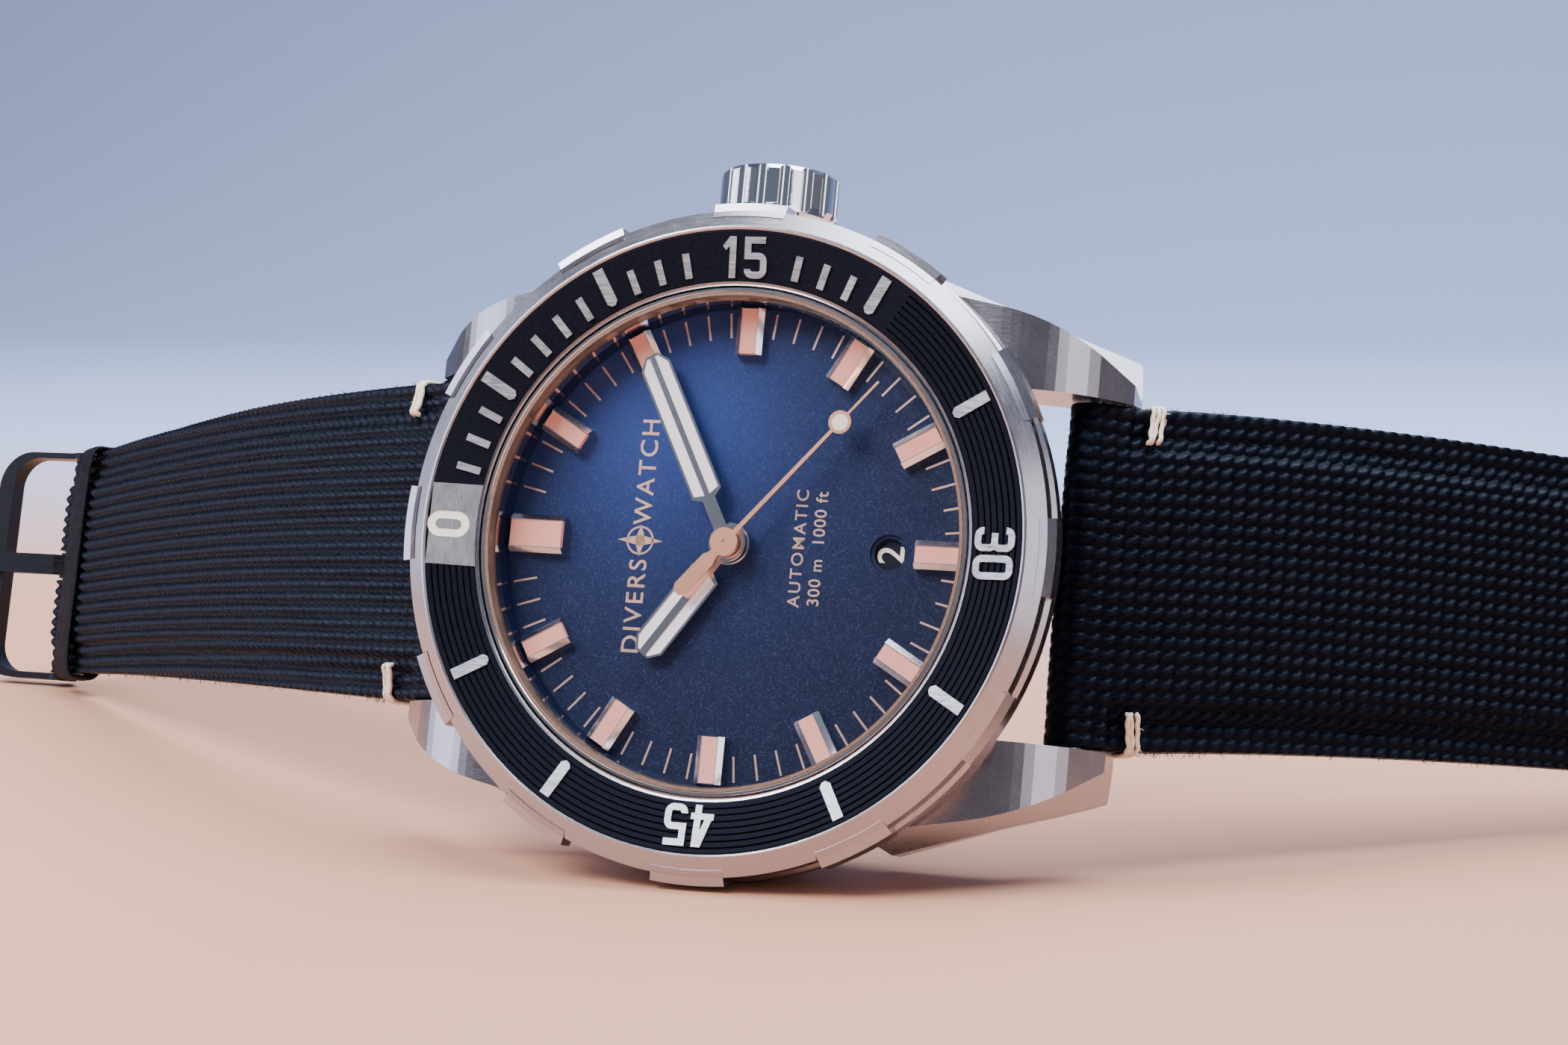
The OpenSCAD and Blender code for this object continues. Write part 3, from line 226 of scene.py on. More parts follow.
case_steel = metal("case_steel", STEEL, 0.25, "x", 0.05, 0.0016, 0.03, 2.2)
ring_steel = metal("ring_steel", STEEL, 0.25, "ring", 0.05, 0.0016, 0.03, 2.0)
polished = metal("polished_steel", BRIGHT, 0.07, "even", 0.02, 0.0006, 0.02)
ground = metal("ground_steel", (0.62, 0.62, 0.65), 0.32, "ring", 0.08, 0.004)
mark_metal = metal("mark_metal", BRIGHT, 0.34, "x", 0.08, 0.004)
plate_metal = metal("plate_metal", (0.74, 0.72, 0.74), 0.30, "y", 0.05, 0.003, 0.04, 2.2)
hand_metal = metal("hand_metal", (0.93, 0.93, 0.97), 0.16, "even", 0.03, 0.001, 0.02)
rose = metal("rose_gold", ROSE, 0.38, "even", 0.02, 0.0002, 0.02, 2.0)
rose_print = metal("rose_print", (0.84, 0.54, 0.42), 0.40, "even", 0.04, 0.0005, 0.03)
rose_ring = metal("rose_ring", (0.88, 0.82, 0.82), 0.12, "ring", 0.04, 0.001, 0.03)
gilt = metal("gilt_brass", BRASS, 0.28, "ring", 0.08, 0.004)
gilt_even = metal("gilt_grained", BRASS, 0.38, "even", 0.1, 0.006)
nickel = metal("nickel_plate", (0.72, 0.70, 0.66), 0.30, "x", 0.10, 0.006, scale=0.6)
blued = metal("blued_steel", (0.07, 0.12, 0.42), 0.2, "even", 0.05, 0.002)
spring_steel = metal("spring_steel", (0.42, 0.45, 0.5), 0.3, "ring", 0.08, 0.003)
# Painted dark reflection: the buckle's steel is coloured near black to stand in for the dark surround it
# reflects and the shade it lies in
gunmetal = metal("gunmetal", (0.018, 0.018, 0.021), 0.40, "x", 0.10, 0.004, 0.10)

insert_rubber = coat(
    "insert_rubber", (0.0012, 0.0014, 0.0040), 0.5, 0.25, 0.003, 8.0,
    Specular_IOR_Level=0.12, Specular_Tint=COOL_TINT,
)
gasket_rubber = coat("gasket_rubber", (0.006, 0.006, 0.006), 0.6, 0.3, 0.01, Specular_IOR_Level=0.3)
gasket_tan = coat("gasket_tan", (0.20, 0.12, 0.085), 0.35, 0.2, 0.004)
cream_lume = coat("cream_lume", (0.93, 0.87, 0.74), 0.62, 0.08, 0.012, 7.0)
hand_lume = coat("hand_lume", (0.95, 0.92, 1.0), 0.6, 0.05, 0.006, 12.0)
pink_lume = coat("pink_lume", (0.88, 0.38, 0.30), 0.5, 0.05, 0.003, 9.0)
navy_ring = coat("navy_ring", (0.006, 0.011, 0.045), 0.12, 0.1, 0.001, 3.0, 0.3)
date_navy = coat("date_navy", (0.0025, 0.0045, 0.015), 0.45, 0.15, 0.002, Specular_IOR_Level=0.2)
ruby = coat("ruby", (0.50, 0.015, 0.07), 0.1, 0.15, 0.001, 3.0)
lining_leather = coat("strap_lining", (0.014, 0.012, 0.012), 0.6, 0.35, 0.05, 1.6, Specular_IOR_Level=0.35)
thread = coat("cream_thread", (0.80, 0.66, 0.52), 0.75, 0.15, 0.03, 6.0)

# Where the painted highlight stands on the dial, towards 12 and 3; it stands in for the light that the sunray
# finish catches
PAINTED_SHEEN_AT = (-5.0, 8.0)


def dial_paint():
    """Deep blue with a painted highlight towards 12 and 3, a brighter patch with sunray streaks, and fine
    metal flakes.
    """
    material, tree, surface = shader("navy_dial", (0.012, 0.035, 0.13), 0.15, 0.4, Specular_IOR_Level=0.25)
    parts = add(tree, "ShaderNodeSeparateXYZ", {0: watch_mm(tree)}).outputs
    radius, angle, _ = polar_mm(tree)
    # Painted highlight: a brighter patch towards 12 and 3, streaked like sunrays, lightens the blue where the
    # dial catches the light
    off = [calc(tree, "ADD", parts[k], -PAINTED_SHEEN_AT[k]) for k in (0, 1)]
    reach = calc(tree, "ADD", square(tree, off[0]), square(tree, off[1]))
    spot = calc(tree, "POWER", calc(tree, "ADD", 1.0, calc(tree, "MULTIPLY", reach, 0.011)), -1.6)
    ray_place = add(tree, "ShaderNodeCombineXYZ", {
        0: calc(tree, "MULTIPLY", angle, 26.0), 1: calc(tree, "MULTIPLY", radius, 0.06),
    }).outputs[0]
    painted_sunray_sheen = calc(tree, "ADD", spot, spread(tree, noise(tree, ray_place, 1.0, 3.0), -0.02, 0.02))
    base = mix(tree, painted_sunray_sheen, (0.0070, 0.0095, 0.0260), (0.030, 0.060, 0.245))
    flake = add(tree, "ShaderNodeTexVoronoi", {"Vector": watch_mm(tree), "Scale": 14.0}).outputs["Color"]
    tone = add(tree, "ShaderNodeSeparateColor", {0: flake}).outputs[0]
    spark = calc(tree, "POWER", tone, 9.0)
    flaked = mix(tree, calc(tree, "MULTIPLY", spark, 0.22), base, (0.10, 0.17, 0.42))
    tree.links.new(flaked, surface.inputs["Base Color"])
    tree.links.new(spread(tree, tone, 0.28, 0.48, 0.0, 1.0), surface.inputs["Roughness"])
    bumped(tree, surface, tone, 0.004)
    return material


def fabric():
    """Black woven yarn with painted shade in the valleys between tufts; the tufts themselves are in the mesh.
    """
    material, tree, surface = shader(
        "black_weave", (0.010, 0.010, 0.014), 0.0, 0.5,
        Specular_IOR_Level=0.13, Specular_Tint=(0.42, 0.56, 1.0, 1.0),
    )
    place = add(tree, "ShaderNodeUVMap").outputs[0]
    fibre = noise(tree, vector_calc(tree, "MULTIPLY", place, (700.0, 2600.0, 1.0)), 1.0, 4.0)
    worn = noise(tree, vector_calc(tree, "MULTIPLY", place, (40.0, 40.0, 1.0)), 1.0, 2.0)
    pile = add(tree, "ShaderNodeAttribute", attribute_name="pile").outputs["Fac"]
    yarn = mix(tree, spread(tree, fibre, 0.0, 1.0), (0.0018, 0.0023, 0.0046), (0.0066, 0.0082, 0.0150))
    # Painted shade: the yarn turns near black where the tufts are low, in the valleys between them
    yarn_with_painted_valley_shade = mix(tree, spread(tree, pile, 0.0, 1.0, 0.25, 0.95), (0.0001, 0.0001, 0.0002), yarn)
    aged = mix(tree, spread(tree, worn, 0.0, 0.25), yarn_with_painted_valley_shade, (0.0022, 0.0026, 0.0052))
    tree.links.new(aged, surface.inputs["Base Color"])
    tree.links.new(spread(tree, fibre, 0.34, 0.54), surface.inputs["Roughness"])
    bumped(tree, surface, fibre, 0.05)
    return material


def sapphire():
    """Clear crystal that only shows a faint reflection."""
    material, tree, surface = shader("sapphire", (0.01, 0.015, 0.03), 0.0, 0.03, Alpha=0.05)
    smear = noise(tree, watch_mm(tree), 0.5, 3.0)
    tree.links.new(spread(tree, smear, 0.02, 0.05), surface.inputs["Roughness"])
    return material


dial_blue = dial_paint()
weave = fabric()
glass = sapphire()
keeper_black = coat(
    "keeper_weave", (0.0015, 0.0017, 0.0035), 0.6, 0.4, 0.06, 1.4,
    Specular_IOR_Level=0.12, Specular_Tint=COOL_TINT,
)

LOOKS = {
    case_steel: "case_middle",
    ring_steel: "bezel_ring case_back",
    plate_metal: "zero_plate",
    mark_metal: "bezel_markers",
    polished: "crown_tube",
    hand_metal: "minute_hand hour_hand dial_indices",
    ground: "spring_bars rotor_bearing cannon_pinion escape_wheel pallet_fork "
            "ratchet_wheel crown_wheel winding_pinion winding_stem",
    spring_steel: "click_spring mainspring",
    rose_ring: "crystal_retainer",
    rose: "seconds_hand",
    gilt: "seconds_wheel hour_wheel minute_wheel third_wheel great_wheel barrel balance_wheel rotor",
    gilt_even: "movement_ring",
    nickel: "main_plate barrel_bridge train_bridge balance_cock",
    blued: "movement_screws hairspring",
    gunmetal: "buckle_frame buckle_bar buckle_tongue",
    insert_rubber: "bezel_insert",
    gasket_rubber: "back_gasket crown_gasket",
    gasket_tan: "crystal_gasket",
    cream_lume: "zero_lume seconds_lume",
    hand_lume: "minute_lume hour_lume",
    pink_lume: "index_lume",
    navy_ring: "rehaut",
    date_navy: "date_ring",
    ruby: "jewels",
    dial_blue: "dial",
    glass: "crystal",
    keeper_black: "strap_keeper",
}

CROWN_CAP_Y = 23.95


def crown_metal():
    """Polished flutes and a ring-brushed cap."""
    material, tree, surface = shader("crown_steel", BRIGHT, 1.0, 0.12)
    parts = add(tree, "ShaderNodeSeparateXYZ", {0: watch_mm(tree)}).outputs
    cap = spread(tree, parts[1], 0.0, 1.0, CROWN_CAP_Y - 0.02, CROWN_CAP_Y + 0.02)
    lines = noise(tree, vector_calc(tree, "MULTIPLY", watch_mm(tree), (7.0, 7.0, 7.0)), 1.0, 4.0)
    rough = calc(tree, "ADD", spread(tree, lines, 0.03, 0.09), calc(tree, "MULTIPLY", cap, 0.30))
    tree.links.new(rough, surface.inputs["Roughness"])
    tree.links.new(mix(tree, cap, BRIGHT, (0.86, 0.78, 0.72)), surface.inputs["Base Color"])
    bumped(tree, surface, lines, 0.002)
    return material


LOOKS[crown_metal()] = "crown"

for look, names in LOOKS.items():
    for name in names.split():
        slots = frame["nodes"][name].data.materials
        slots.clear()
        slots.append(look)

# ---------- camera ----------

# Where the camera stands, looks and has its lower edge, in the head's axes
EYE = (65.27, -22.19, 180.78)
LOOK = Vector((-0.31719, 0.12149, -0.94055)).normalized()
DOWN = Vector((0.04991, -0.98825, -0.14448))
LENS_MM = 73.27
down = (DOWN - LOOK * DOWN.dot(LOOK)).normalized()
right = down.cross(LOOK)
turn = WATCH.to_3x3().normalized()
camera_data = bpy.data.cameras.new("camera")
camera_data.lens = LENS_MM
camera_data.sensor_width = 36.0
camera_data.clip_start = 0.01
camera_data.clip_end = 20.0
camera = bpy.data.objects.new("camera", camera_data)
bpy.context.collection.objects.link(camera)
aim = Matrix((turn @ right, -(turn @ down), -(turn @ LOOK))).transposed().to_4x4()
camera.matrix_world = Matrix.Translation(WATCH @ Vector(EYE)) @ aim
bpy.context.scene.camera = camera

# ---------- flat print on the dial ----------

DIAL_Z = -3.3
PRINT_T = 0.012
TICK_OUT = 14.61
TICK_IN = 13.03
TICK_IN_NEAR_SIX = 13.55
TICK_W = 0.13
EMBLEM = (-6.1, 0.0)
CAP_HEIGHT = 0.69


def slab(outline, z, thick):
    """Points and faces of a flat prism over a convex outline."""
    count = len(outline)
    points = [(x, y, z) for x, y in outline] + [(x, y, z + thick) for x, y in outline]
    faces = [tuple(range(count))[::-1], tuple(range(count, 2 * count))]
    faces += [(i, (i + 1) % count, count + (i + 1) % count, count + i) for i in range(count)]
    return points, faces


def gather(parts):
    """One set of points and faces from several."""
    points, faces = [], []
    for some_points, some_faces in parts:
        faces += [tuple(i + len(points) for i in face) for face in some_faces]
        points += [tuple(p) for p in some_points]
    return points, faces


def turned(part, matrix):
    return [tuple(matrix @ Vector(p)) for p in part[0]], part[1]


def bar(x0, x1, width, z=DIAL_Z, thick=PRINT_T):
    return slab([(x0, -width / 2), (x1, -width / 2), (x1, width / 2), (x0, width / 2)], z, thick)


ticks = []
for minute in range(60):
    if minute in (59, 0, 1):
        continue
    inner = TICK_IN_NEAR_SIX if minute in (28, 29, 31, 32) else TICK_IN
    ticks.append(turned(bar(inner, TICK_OUT, TICK_W), minute_turn(minute)))
piece("minute_track", *gather(ticks), "head", "rose_gold", rose_print, smooth=False)


def words(text, height, middle, spacing=1.15, upright=0.0, z=DIAL_Z, thick=PRINT_T):
    """Flat letters whose tops point to 12, centred on a point of the dial."""
    curve = bpy.data.curves.new("letters", "FONT")
    curve.body = text
    curve.size = height / CAP_HEIGHT
    curve.space_character = spacing
    curve.align_x = "CENTER"
    curve.extrude = thick / 2
    curve.resolution_u = 6
    curve.offset = 0.012 * height
    shape = bpy.data.objects.new("letters", curve)
    bpy.context.collection.objects.link(shape)
    bpy.context.view_layer.update()
    mesh = bpy.data.meshes.new_from_object(shape.evaluated_get(bpy.context.evaluated_depsgraph_get()))
    bpy.data.objects.remove(shape)
    foot = Matrix.Translation((middle[0] + height / 2, middle[1], z + thick / 2))
    place = Matrix.Rotation(math.radians(upright), 4, "Z") @ foot @ Matrix.Rotation(math.radians(90), 4, "Z")
    part = [tuple(place @ v.co) for v in mesh.vertices], [tuple(p.vertices) for p in mesh.polygons]
    bpy.data.meshes.remove(mesh)
    return part


def lozenge(middle, long, wide):
    x, y = middle
    return slab([(x - long, y), (x, y - wide), (x + long, y), (x, y + wide)], DIAL_Z, PRINT_T)


star = [lozenge(EMBLEM, 1.5, 0.34), lozenge(EMBLEM, 0.34, 1.0)]
for k in range(24):
    ring = Matrix.Translation((*EMBLEM, 0)) @ Matrix.Rotation(math.radians(15 * k), 4, "Z")
    star.append(turned(bar(0.78, 0.90, 0.22), ring))
piece("dial_emblem", *gather(star), "head", "rose_gold", rose_print, smooth=False)
piece("dial_name", *gather([
    words("DIVERS", 1.12, (EMBLEM[0], -4.15), 1.2),
    words("WATCH", 1.12, (EMBLEM[0], 4.35), 1.2),
]), "head", "rose_gold", rose_print, smooth=False)
piece("dial_legend", *gather([
    words("AUTOMATIC", 0.74, (4.25, 0.05), 1.25),
    words("300 m  1000 ft", 0.74, (5.5, 0.05), 1.1),
]), "head", "rose_gold", rose_print, smooth=False)
piece("dial_origin", *gather([
    turned(bar(14.75, 14.95, 0.5), minute_turn(30 + k * 0.55)) for k in (-4, -3, -2, 2, 3, 4)
]), "head", "rose_gold", rose_print, smooth=False)

DATE_Z = -3.78
DATE_AT = (10.05, 0.0)
DATE_H = 1.65
DAYS = 31
SHOWN_DATE = 2
figures = []
for day in range(1, DAYS + 1):
    swing = 360 / DAYS * (SHOWN_DATE - day)
    figures.append(words(str(day), DATE_H, DATE_AT, 0.85, swing, DATE_Z, 0.01))
piece("date_figures", *gather(figures), "date_ring", "cream_lume", cream_lume, smooth=False)

# ---------- strap ----------

bar_middle = WATCH.inverted() @ Vector(joint("long_strap_swing")["pos_m"])
BAR = (bar_middle[0], bar_middle[2])
STRAP_W = 21.1
LONG_TIP_W = 17.5
SHORT_TIP_W = 18.2
# Sideways bow of each open half: where it starts, over what run, its swell and what stays at the tip
LONG_DRIFT = (23, 102, 11.5, 1.0)
SHORT_DRIFT = (24, 52, 1.6, 1.5)

STEP = 0.17              # mesh step
END_R = 1.5              # radius that the weave follows round a strap's end
END_ROWS = 8
RIM_CATCH = 0.62         # how near a grid point is drawn to a hole's rim, in steps
TUFT_L = 0.96            # tuft pitch along and across
TUFT_W = 0.88
TUFT_SLANT = 0.9         # how far a tuft leans along the strap over its own width, in pitches
TUFT_LEVEL = 0.76        # share of a tuft's height that lies under the strap's nominal face
PILE_H = 0.44
EDGE_FADE = 0.4          # how much lower the tufts are at the edges and round the ends
END_FADE = 0.5

START_T = 3.2            # thickness at the spring bar and at the far end
END_T = 2.2
STRAIGHT = 6             # the width stays the same this far from the spring bar
MARGIN = (1.5, 3.4)      # the flat margin ends and the padding is full this far from an edge
MARGIN_SHARE = 0.60      # thickness above the middle line, in the margin
DOME = 0.22
BUCKLE_EYE = 2.6
FOLD_SHARE = 0.55        # thickness below the middle line, where the lining covers the woven layer
LINING_FROM = 3.4
LINING_INSET = 0.15
LINING_TOP_SHARE = 0.56
LINING_COLUMNS = 48


def follow(arcs, heading):
    """Distance, x, z and heading at fine steps along a strap's middle line."""
    rows = []
    x, z = BAR
    done = 0.0
    for length, turn_by in arcs:
        count = max(2, round(length / STEP))
        for k in range(count):
            rows.append((done + length * k / count, x, z, heading))
            h = math.radians(heading + turn_by / count / 2)
            x += length / count * math.cos(h)
            z += length / count * math.sin(h)
            heading += turn_by / count
        done += length
    rows.append((done, x, z, heading))
    return np.array(rows)


def drifted(x, drift):
    """Sideways shift of an open strap half at a distance from the dial axis."""
    start, run, swell, rest = drift
    t = np.clip((x - start) / run, 0, 1)
    return swell * t * (1 - t) ** 2 + rest * t * t * (3 - 2 * t)


def smooth_step(value, low, high):
    t = np.clip((value - low) / (high - low), 0, 1)
    return t * t * (3 - 2 * t)


def tufts(reach, v):
    """Height, 0 to 1, of slanted oval yarn tufts on a square lattice."""
    across = v / TUFT_W % 1.0
    along = (reach / TUFT_L - TUFT_SLANT * (across - 0.5)) % 1.0
    mound = np.clip(1.04 - np.abs(2 * along - 1) ** 1.9, 0, 1)
    return mound * np.clip(1.05 - np.abs(2 * across - 1) ** 2.2, 0, 1)


def draw_to_rims(s, v, s_rows, openings):
    """Grid points near an opening, moved onto its rim."""
    for kind, at, size in openings:
        if kind == "round":
            distance = np.maximum(np.hypot(s - at, v), 1e-6)
            near = np.abs(distance - size) < RIM_CATCH * STEP
            drawn_s = np.where(near, at + (s - at) * size / distance, s)
            v = np.where(near, v * size / distance, v)
            s = drawn_s
        else:
            for side in (-1, 1):
                nearest = np.argmin(np.abs(v[-1] - side * size))
                v[s_rows >= at, nearest] = side * size
    return s, v


def kept_cells(s, v, openings):
    """Cells of the grid that no opening takes away."""
    mid_s = (s[:-1, :-1] + s[1:, 1:]) / 2
    mid_v = (v[:-1, :-1] + v[1:, 1:]) / 2
    kept = np.ones(mid_s.shape, bool)
    for kind, at, size in openings:
        if kind == "round":
            kept &= np.hypot(mid_s - at, mid_v) > size
        else:
            kept &= ~((mid_s >= at) & (np.abs(mid_v) < size))
    return kept


def shell_faces(kept):
    """Faces of the upper and lower grid over the kept cells, and of the walls round them."""
    rows, columns = kept.shape[0] + 1, kept.shape[1] + 1
    low = rows * columns
    i, j = np.nonzero(kept)
    first = i * columns + j
    upper = np.stack([first, first + 1, first + columns + 1, first + columns], 1)
    lower = upper[:, ::-1] + low
    walls = []
    padded = np.zeros((rows + 1, columns + 1), bool)
    padded[1:-1, 1:-1] = kept
    for i, j in zip(*np.nonzero(padded[:, 1:] != padded[:, :-1])):
        p, q = (i - 1) * columns + j, i * columns + j
        quad = (p, q, q + low, p + low)
        walls.append(quad if padded[i, j + 1] else quad[::-1])
    for i, j in zip(*np.nonzero(padded[1:, :] != padded[:-1, :])):
        if 0 < i < rows - 1:
            p, q = i * columns + j - 1, i * columns + j
            quad = (q, p, p + low, q + low)
            walls.append(quad if padded[i + 1, j] else quad[::-1])
    return upper.tolist() + lower.tolist() + walls


# One strap half: its middle line, sideways bow, width along s, openings, body and whether it points to 12
Half = namedtuple("Half", "line drift half_width openings body mirror")


def strap_piece(name, half, top, bottom, columns, span, look, slot):
    """A closed strap layer between two heights, rounded over both ends, with openings cut through."""
    line = half.line
    step_rows = line[(line[:, 0] >= span[0]) & (line[:, 0] <= span[1])]
    s_rows = np.concatenate([[step_rows[0, 0]] * END_ROWS, step_rows[:, 0], [step_rows[-1, 0]] * END_ROWS])
    start_turn = np.linspace(90, 0, END_ROWS, endpoint=False)
    end_turn = np.linspace(0, 90, END_ROWS + 1)[1:]
    lean = np.radians(np.concatenate([-start_turn, np.zeros(len(step_rows)), end_turn]))[:, None]
    s = np.repeat(s_rows[:, None], columns, 1)
    v = np.linspace(-1, 1, columns)[None, :] * half.half_width(s_rows)[:, None]
    s, v = draw_to_rims(s, v, s_rows, half.openings)
    x, z, heading = (np.interp(s, line[:, 0], line[:, k]) for k in (1, 2, 3))
    heading = np.radians(heading)
    reach = s + END_R * lean
    heights = top(s, v, reach), -bottom(s, v, reach)
    blend = np.abs(np.sin(lean))
    flip = -1 if half.mirror else 1
    grids = []
    for sign, height in zip((1, -1), heights):
        height = height * (1 - blend) + sum(heights) / 2 * blend
        direction = heading + sign * (np.pi / 2 - lean)
        out = x + height * np.cos(direction)
        grids.append(np.stack([flip * out, v + drifted(out, half.drift), z + height * np.sin(direction)], -1))
    points = np.concatenate([g.reshape(-1, 3) for g in grids])
    uv = np.concatenate([np.stack([s, v], -1).reshape(-1, 2)] * 2) / 1000
    faces = shell_faces(kept_cells(s, v, half.openings))
    if not half.mirror:
        faces = [f[::-1] for f in faces]
    made = piece(name, points, faces, half.body, slot, look, True, uv)
    # Tuft height for the face, used by the fabric to paint shade into the valleys; the underside gets a
    # middle value
    pile = np.concatenate([tufts(reach, v).ravel(), np.full(s.size, 0.5)])
    made.data.attributes.new("pile", "FLOAT", "POINT").data.foreach_set("value", pile.astype(np.float32))
    return made


def strap(side, arcs, heading, drift, widths, tip, openings, mirror, bar_bulge):
    """Woven face and lining of one half; gives what other pieces need to sit on it."""
    line = follow(arcs, heading)
    length = line[-1, 0]

    def thick(s):
        return START_T + (END_T - START_T) * s / length

    def half_width(s):
        stations = [0, STRAIGHT, length - tip, length]
        wide = np.interp(s, stations, np.repeat(widths, 2)) / 2
        return wide - np.clip(s - (length - tip), 0, None) if tip else wide

    def buckle_bulge(s):
        return bar_bulge * smooth_step(s, length - BUCKLE_EYE, length)

    def top(s, v, reach):
        edge = half_width(s) - np.abs(v)
        padding = smooth_step(edge, *MARGIN)
        pad = np.maximum(MARGIN_SHARE + (1 - MARGIN_SHARE) * padding, 1 - smooth_step(s, 1.6, 3.0))
        dome = DOME * (1 - (v / half_width(s)) ** 2) * padding
        body_top = thick(s) / 2 * pad + dome * smooth_step(length - s, 1.0, 9.0)
        fade = 1 - EDGE_FADE * smooth_step(MARGIN[0] - edge, 0.0, MARGIN[0])
        fade = fade * (1 - END_FADE * np.clip(np.abs(reach - s) / END_R, 0, 1))
        return body_top + buckle_bulge(s) + PILE_H * fade * (tufts(reach, v) - TUFT_LEVEL)

    def textile_foot(s, v, reach):
        wrap = 1 - smooth_step(s, 3.0, 3.6)
        if bar_bulge:
            wrap = np.maximum(wrap, smooth_step(s, length - 3.4, length - 2.8))
        base = thick(s) / 2 * (FOLD_SHARE + (1 - FOLD_SHARE) * wrap) + buckle_bulge(s)
        return -base - 0.04 * tufts(reach, v) * wrap

    def lining_top(s, v, reach):
        return -thick(s) / 2 * LINING_TOP_SHARE

    def lining_foot(s, v, reach):
        edge = half_width(s) - np.abs(v)
        return -thick(s) / 2 * (0.90 + 0.10 * smooth_step(edge, 0.0, 0.8))

    half = Half(line, drift, half_width, openings, f"{side}_strap", mirror)
    columns = round(widths[0] / STEP)
    textile = strap_piece(
        f"{side}_textile", half, top, textile_foot, columns, (0, length), weave, "black_fabric",
    )
    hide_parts(f"strap_{side}")
    skin = half._replace(line=line[::3], half_width=lambda s: half_width(s) - LINING_INSET)
    span = (LINING_FROM, length - 3.0 if bar_bulge else length)
    lining = strap_piece(
        f"{side}_lining_skin", skin, lining_top, lining_foot, LINING_COLUMNS, span,
        lining_leather, "strap_lining",
    )
    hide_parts(f"strap_{side}_lining")

    def place(s, v, height):
        x, z, h = (np.interp(s, line[:, 0], line[:, k]) for k in (1, 2, 3))
        h = math.radians(h)
        flip = -1 if mirror else 1
        out = x - height * math.sin(h)
        return (flip * out, v + float(drifted(out, drift)), z + height * math.cos(h))

    return place, half_width, thick


# Length and turn, in degrees, of each arc of a half's middle line, from the spring bar out
LONG_ARCS = [(12, -8), (20, -3), (30, 33), (52, 14)]
SHORT_ARCS = [(12, -5), (22, -8), (41, -3)]
LONG_HEADING = -30.0
SHORT_HEADING = -29.0
HOLE_R = 1.0
HOLE_PITCH = 6.5
TIP_SLANT = 6.0
TONGUE_SLOT = (4.5, 1.3)   # its length from the buckle's bar and half its width
long_length = sum(length for length, _ in LONG_ARCS)
short_length = sum(length for length, _ in SHORT_ARCS)
strap_holes = [("round", long_length - HOLE_PITCH * k, HOLE_R) for k in range(1, 8)]
tongue_slot = [("slot", short_length - TONGUE_SLOT[0], TONGUE_SLOT[1])]
long_side = strap(
    "long", LONG_ARCS, LONG_HEADING, LONG_DRIFT, (STRAP_W, LONG_TIP_W), TIP_SLANT, strap_holes, False, 0.0,
)
short_side = strap(
    "short", SHORT_ARCS, SHORT_HEADING, SHORT_DRIFT, (STRAP_W, SHORT_TIP_W), 0.0, tongue_slot, True, 0.25,
)

# ---------- keeper loop ----------


def band_faces(count, sides, closed):
    """Quads between successive rings of points, and back to the first ring when closed."""
    faces = []
    for i in range(count if closed else count - 1):
        here, there = i * sides, (i + 1) % count * sides
        for k in range(sides):
            after = (k + 1) % sides
            faces.append((here + k, here + after, there + after, there + k))
    return faces


def rounded(value, power):
    """A sine or cosine drawn out towards a square with round corners."""
    return math.copysign(abs(value) ** power, value)


KEEPER_BACK = 5.2
KEEPER_HALF_L = 2.05
KEEPER_HALF_W = 9.60
KEEPER_HALF_H = 1.52
KEEPER_LIFT = 0.125
KEEPER_HALF_T = 0.20
RIB_H = 0.05


def keeper(place):
    """Soft woven loop with round corners, laid flat round the short strap."""
    around = np.linspace(0, 2 * np.pi, 240, endpoint=False)
    section = np.linspace(0, 2 * np.pi, 28, endpoint=False)
    points = []
    for t in around:
        c, n = math.cos(t), math.sin(t)
        v = KEEPER_HALF_W * rounded(c, 0.22)
        height = KEEPER_LIFT + KEEPER_HALF_H * rounded(n, 0.42)
        for r in section:
            swell = KEEPER_HALF_T * rounded(math.cos(r), 0.6) + RIB_H * math.sin(9 * r) * math.sin(61 * t)
            s = short_length - KEEPER_BACK + KEEPER_HALF_L * rounded(math.sin(r), 0.6)
            points.append(place(s, v + swell * c, height + swell * n))
    faces = band_faces(len(around), len(section), True)
    uv = [(0.001 * (t * 9 + math.sin(r)), 0.0004 * r) for t in around for r in section]
    made = piece("keeper_loop", points, faces, "short_strap", "black_fabric", keeper_black, True, uv)
    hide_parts("strap_keeper")


keeper(short_side[0])

# ---------- thread tacks and loose fibres ----------


def tube(path, radius, sides=7):
    """Points and faces of a round strand along a path, tapered at its ends."""
    path = np.array(path, float)
    along = np.gradient(path, axis=0)
    along /= np.linalg.norm(along, axis=1)[:, None]
    guide = np.array((0.31, 0.17, 0.93))
    one = np.cross(along, guide)
    one /= np.linalg.norm(one, axis=1)[:, None]
    two = np.cross(along, one)
    count = len(path)
    taper = np.ones(count)
    taper[0] = taper[-1] = 0.25
    taper[1] = taper[-2] = 0.7
    turns = (2 * np.pi * np.arange(sides) / sides)[None, :, None]
    ring = np.cos(turns) * one[:, None, :] + np.sin(turns) * two[:, None, :]
    points = (path[:, None, :] + ring * (radius * taper)[:, None, None]).reshape(-1, 3)
    ends = [tuple(range(sides))[::-1], tuple(range((count - 1) * sides, count * sides))]
    return points.tolist(), band_faces(count, sides, False) + ends


TACK_REACH = 2.3
LANES = (-0.30, 0.0, 0.30)
STRAND_R = 0.15
FRAYED_ENDS = 7
FRAYED_R = 0.025
FIBRE_R = 0.022
rng = np.random.default_rng(7)


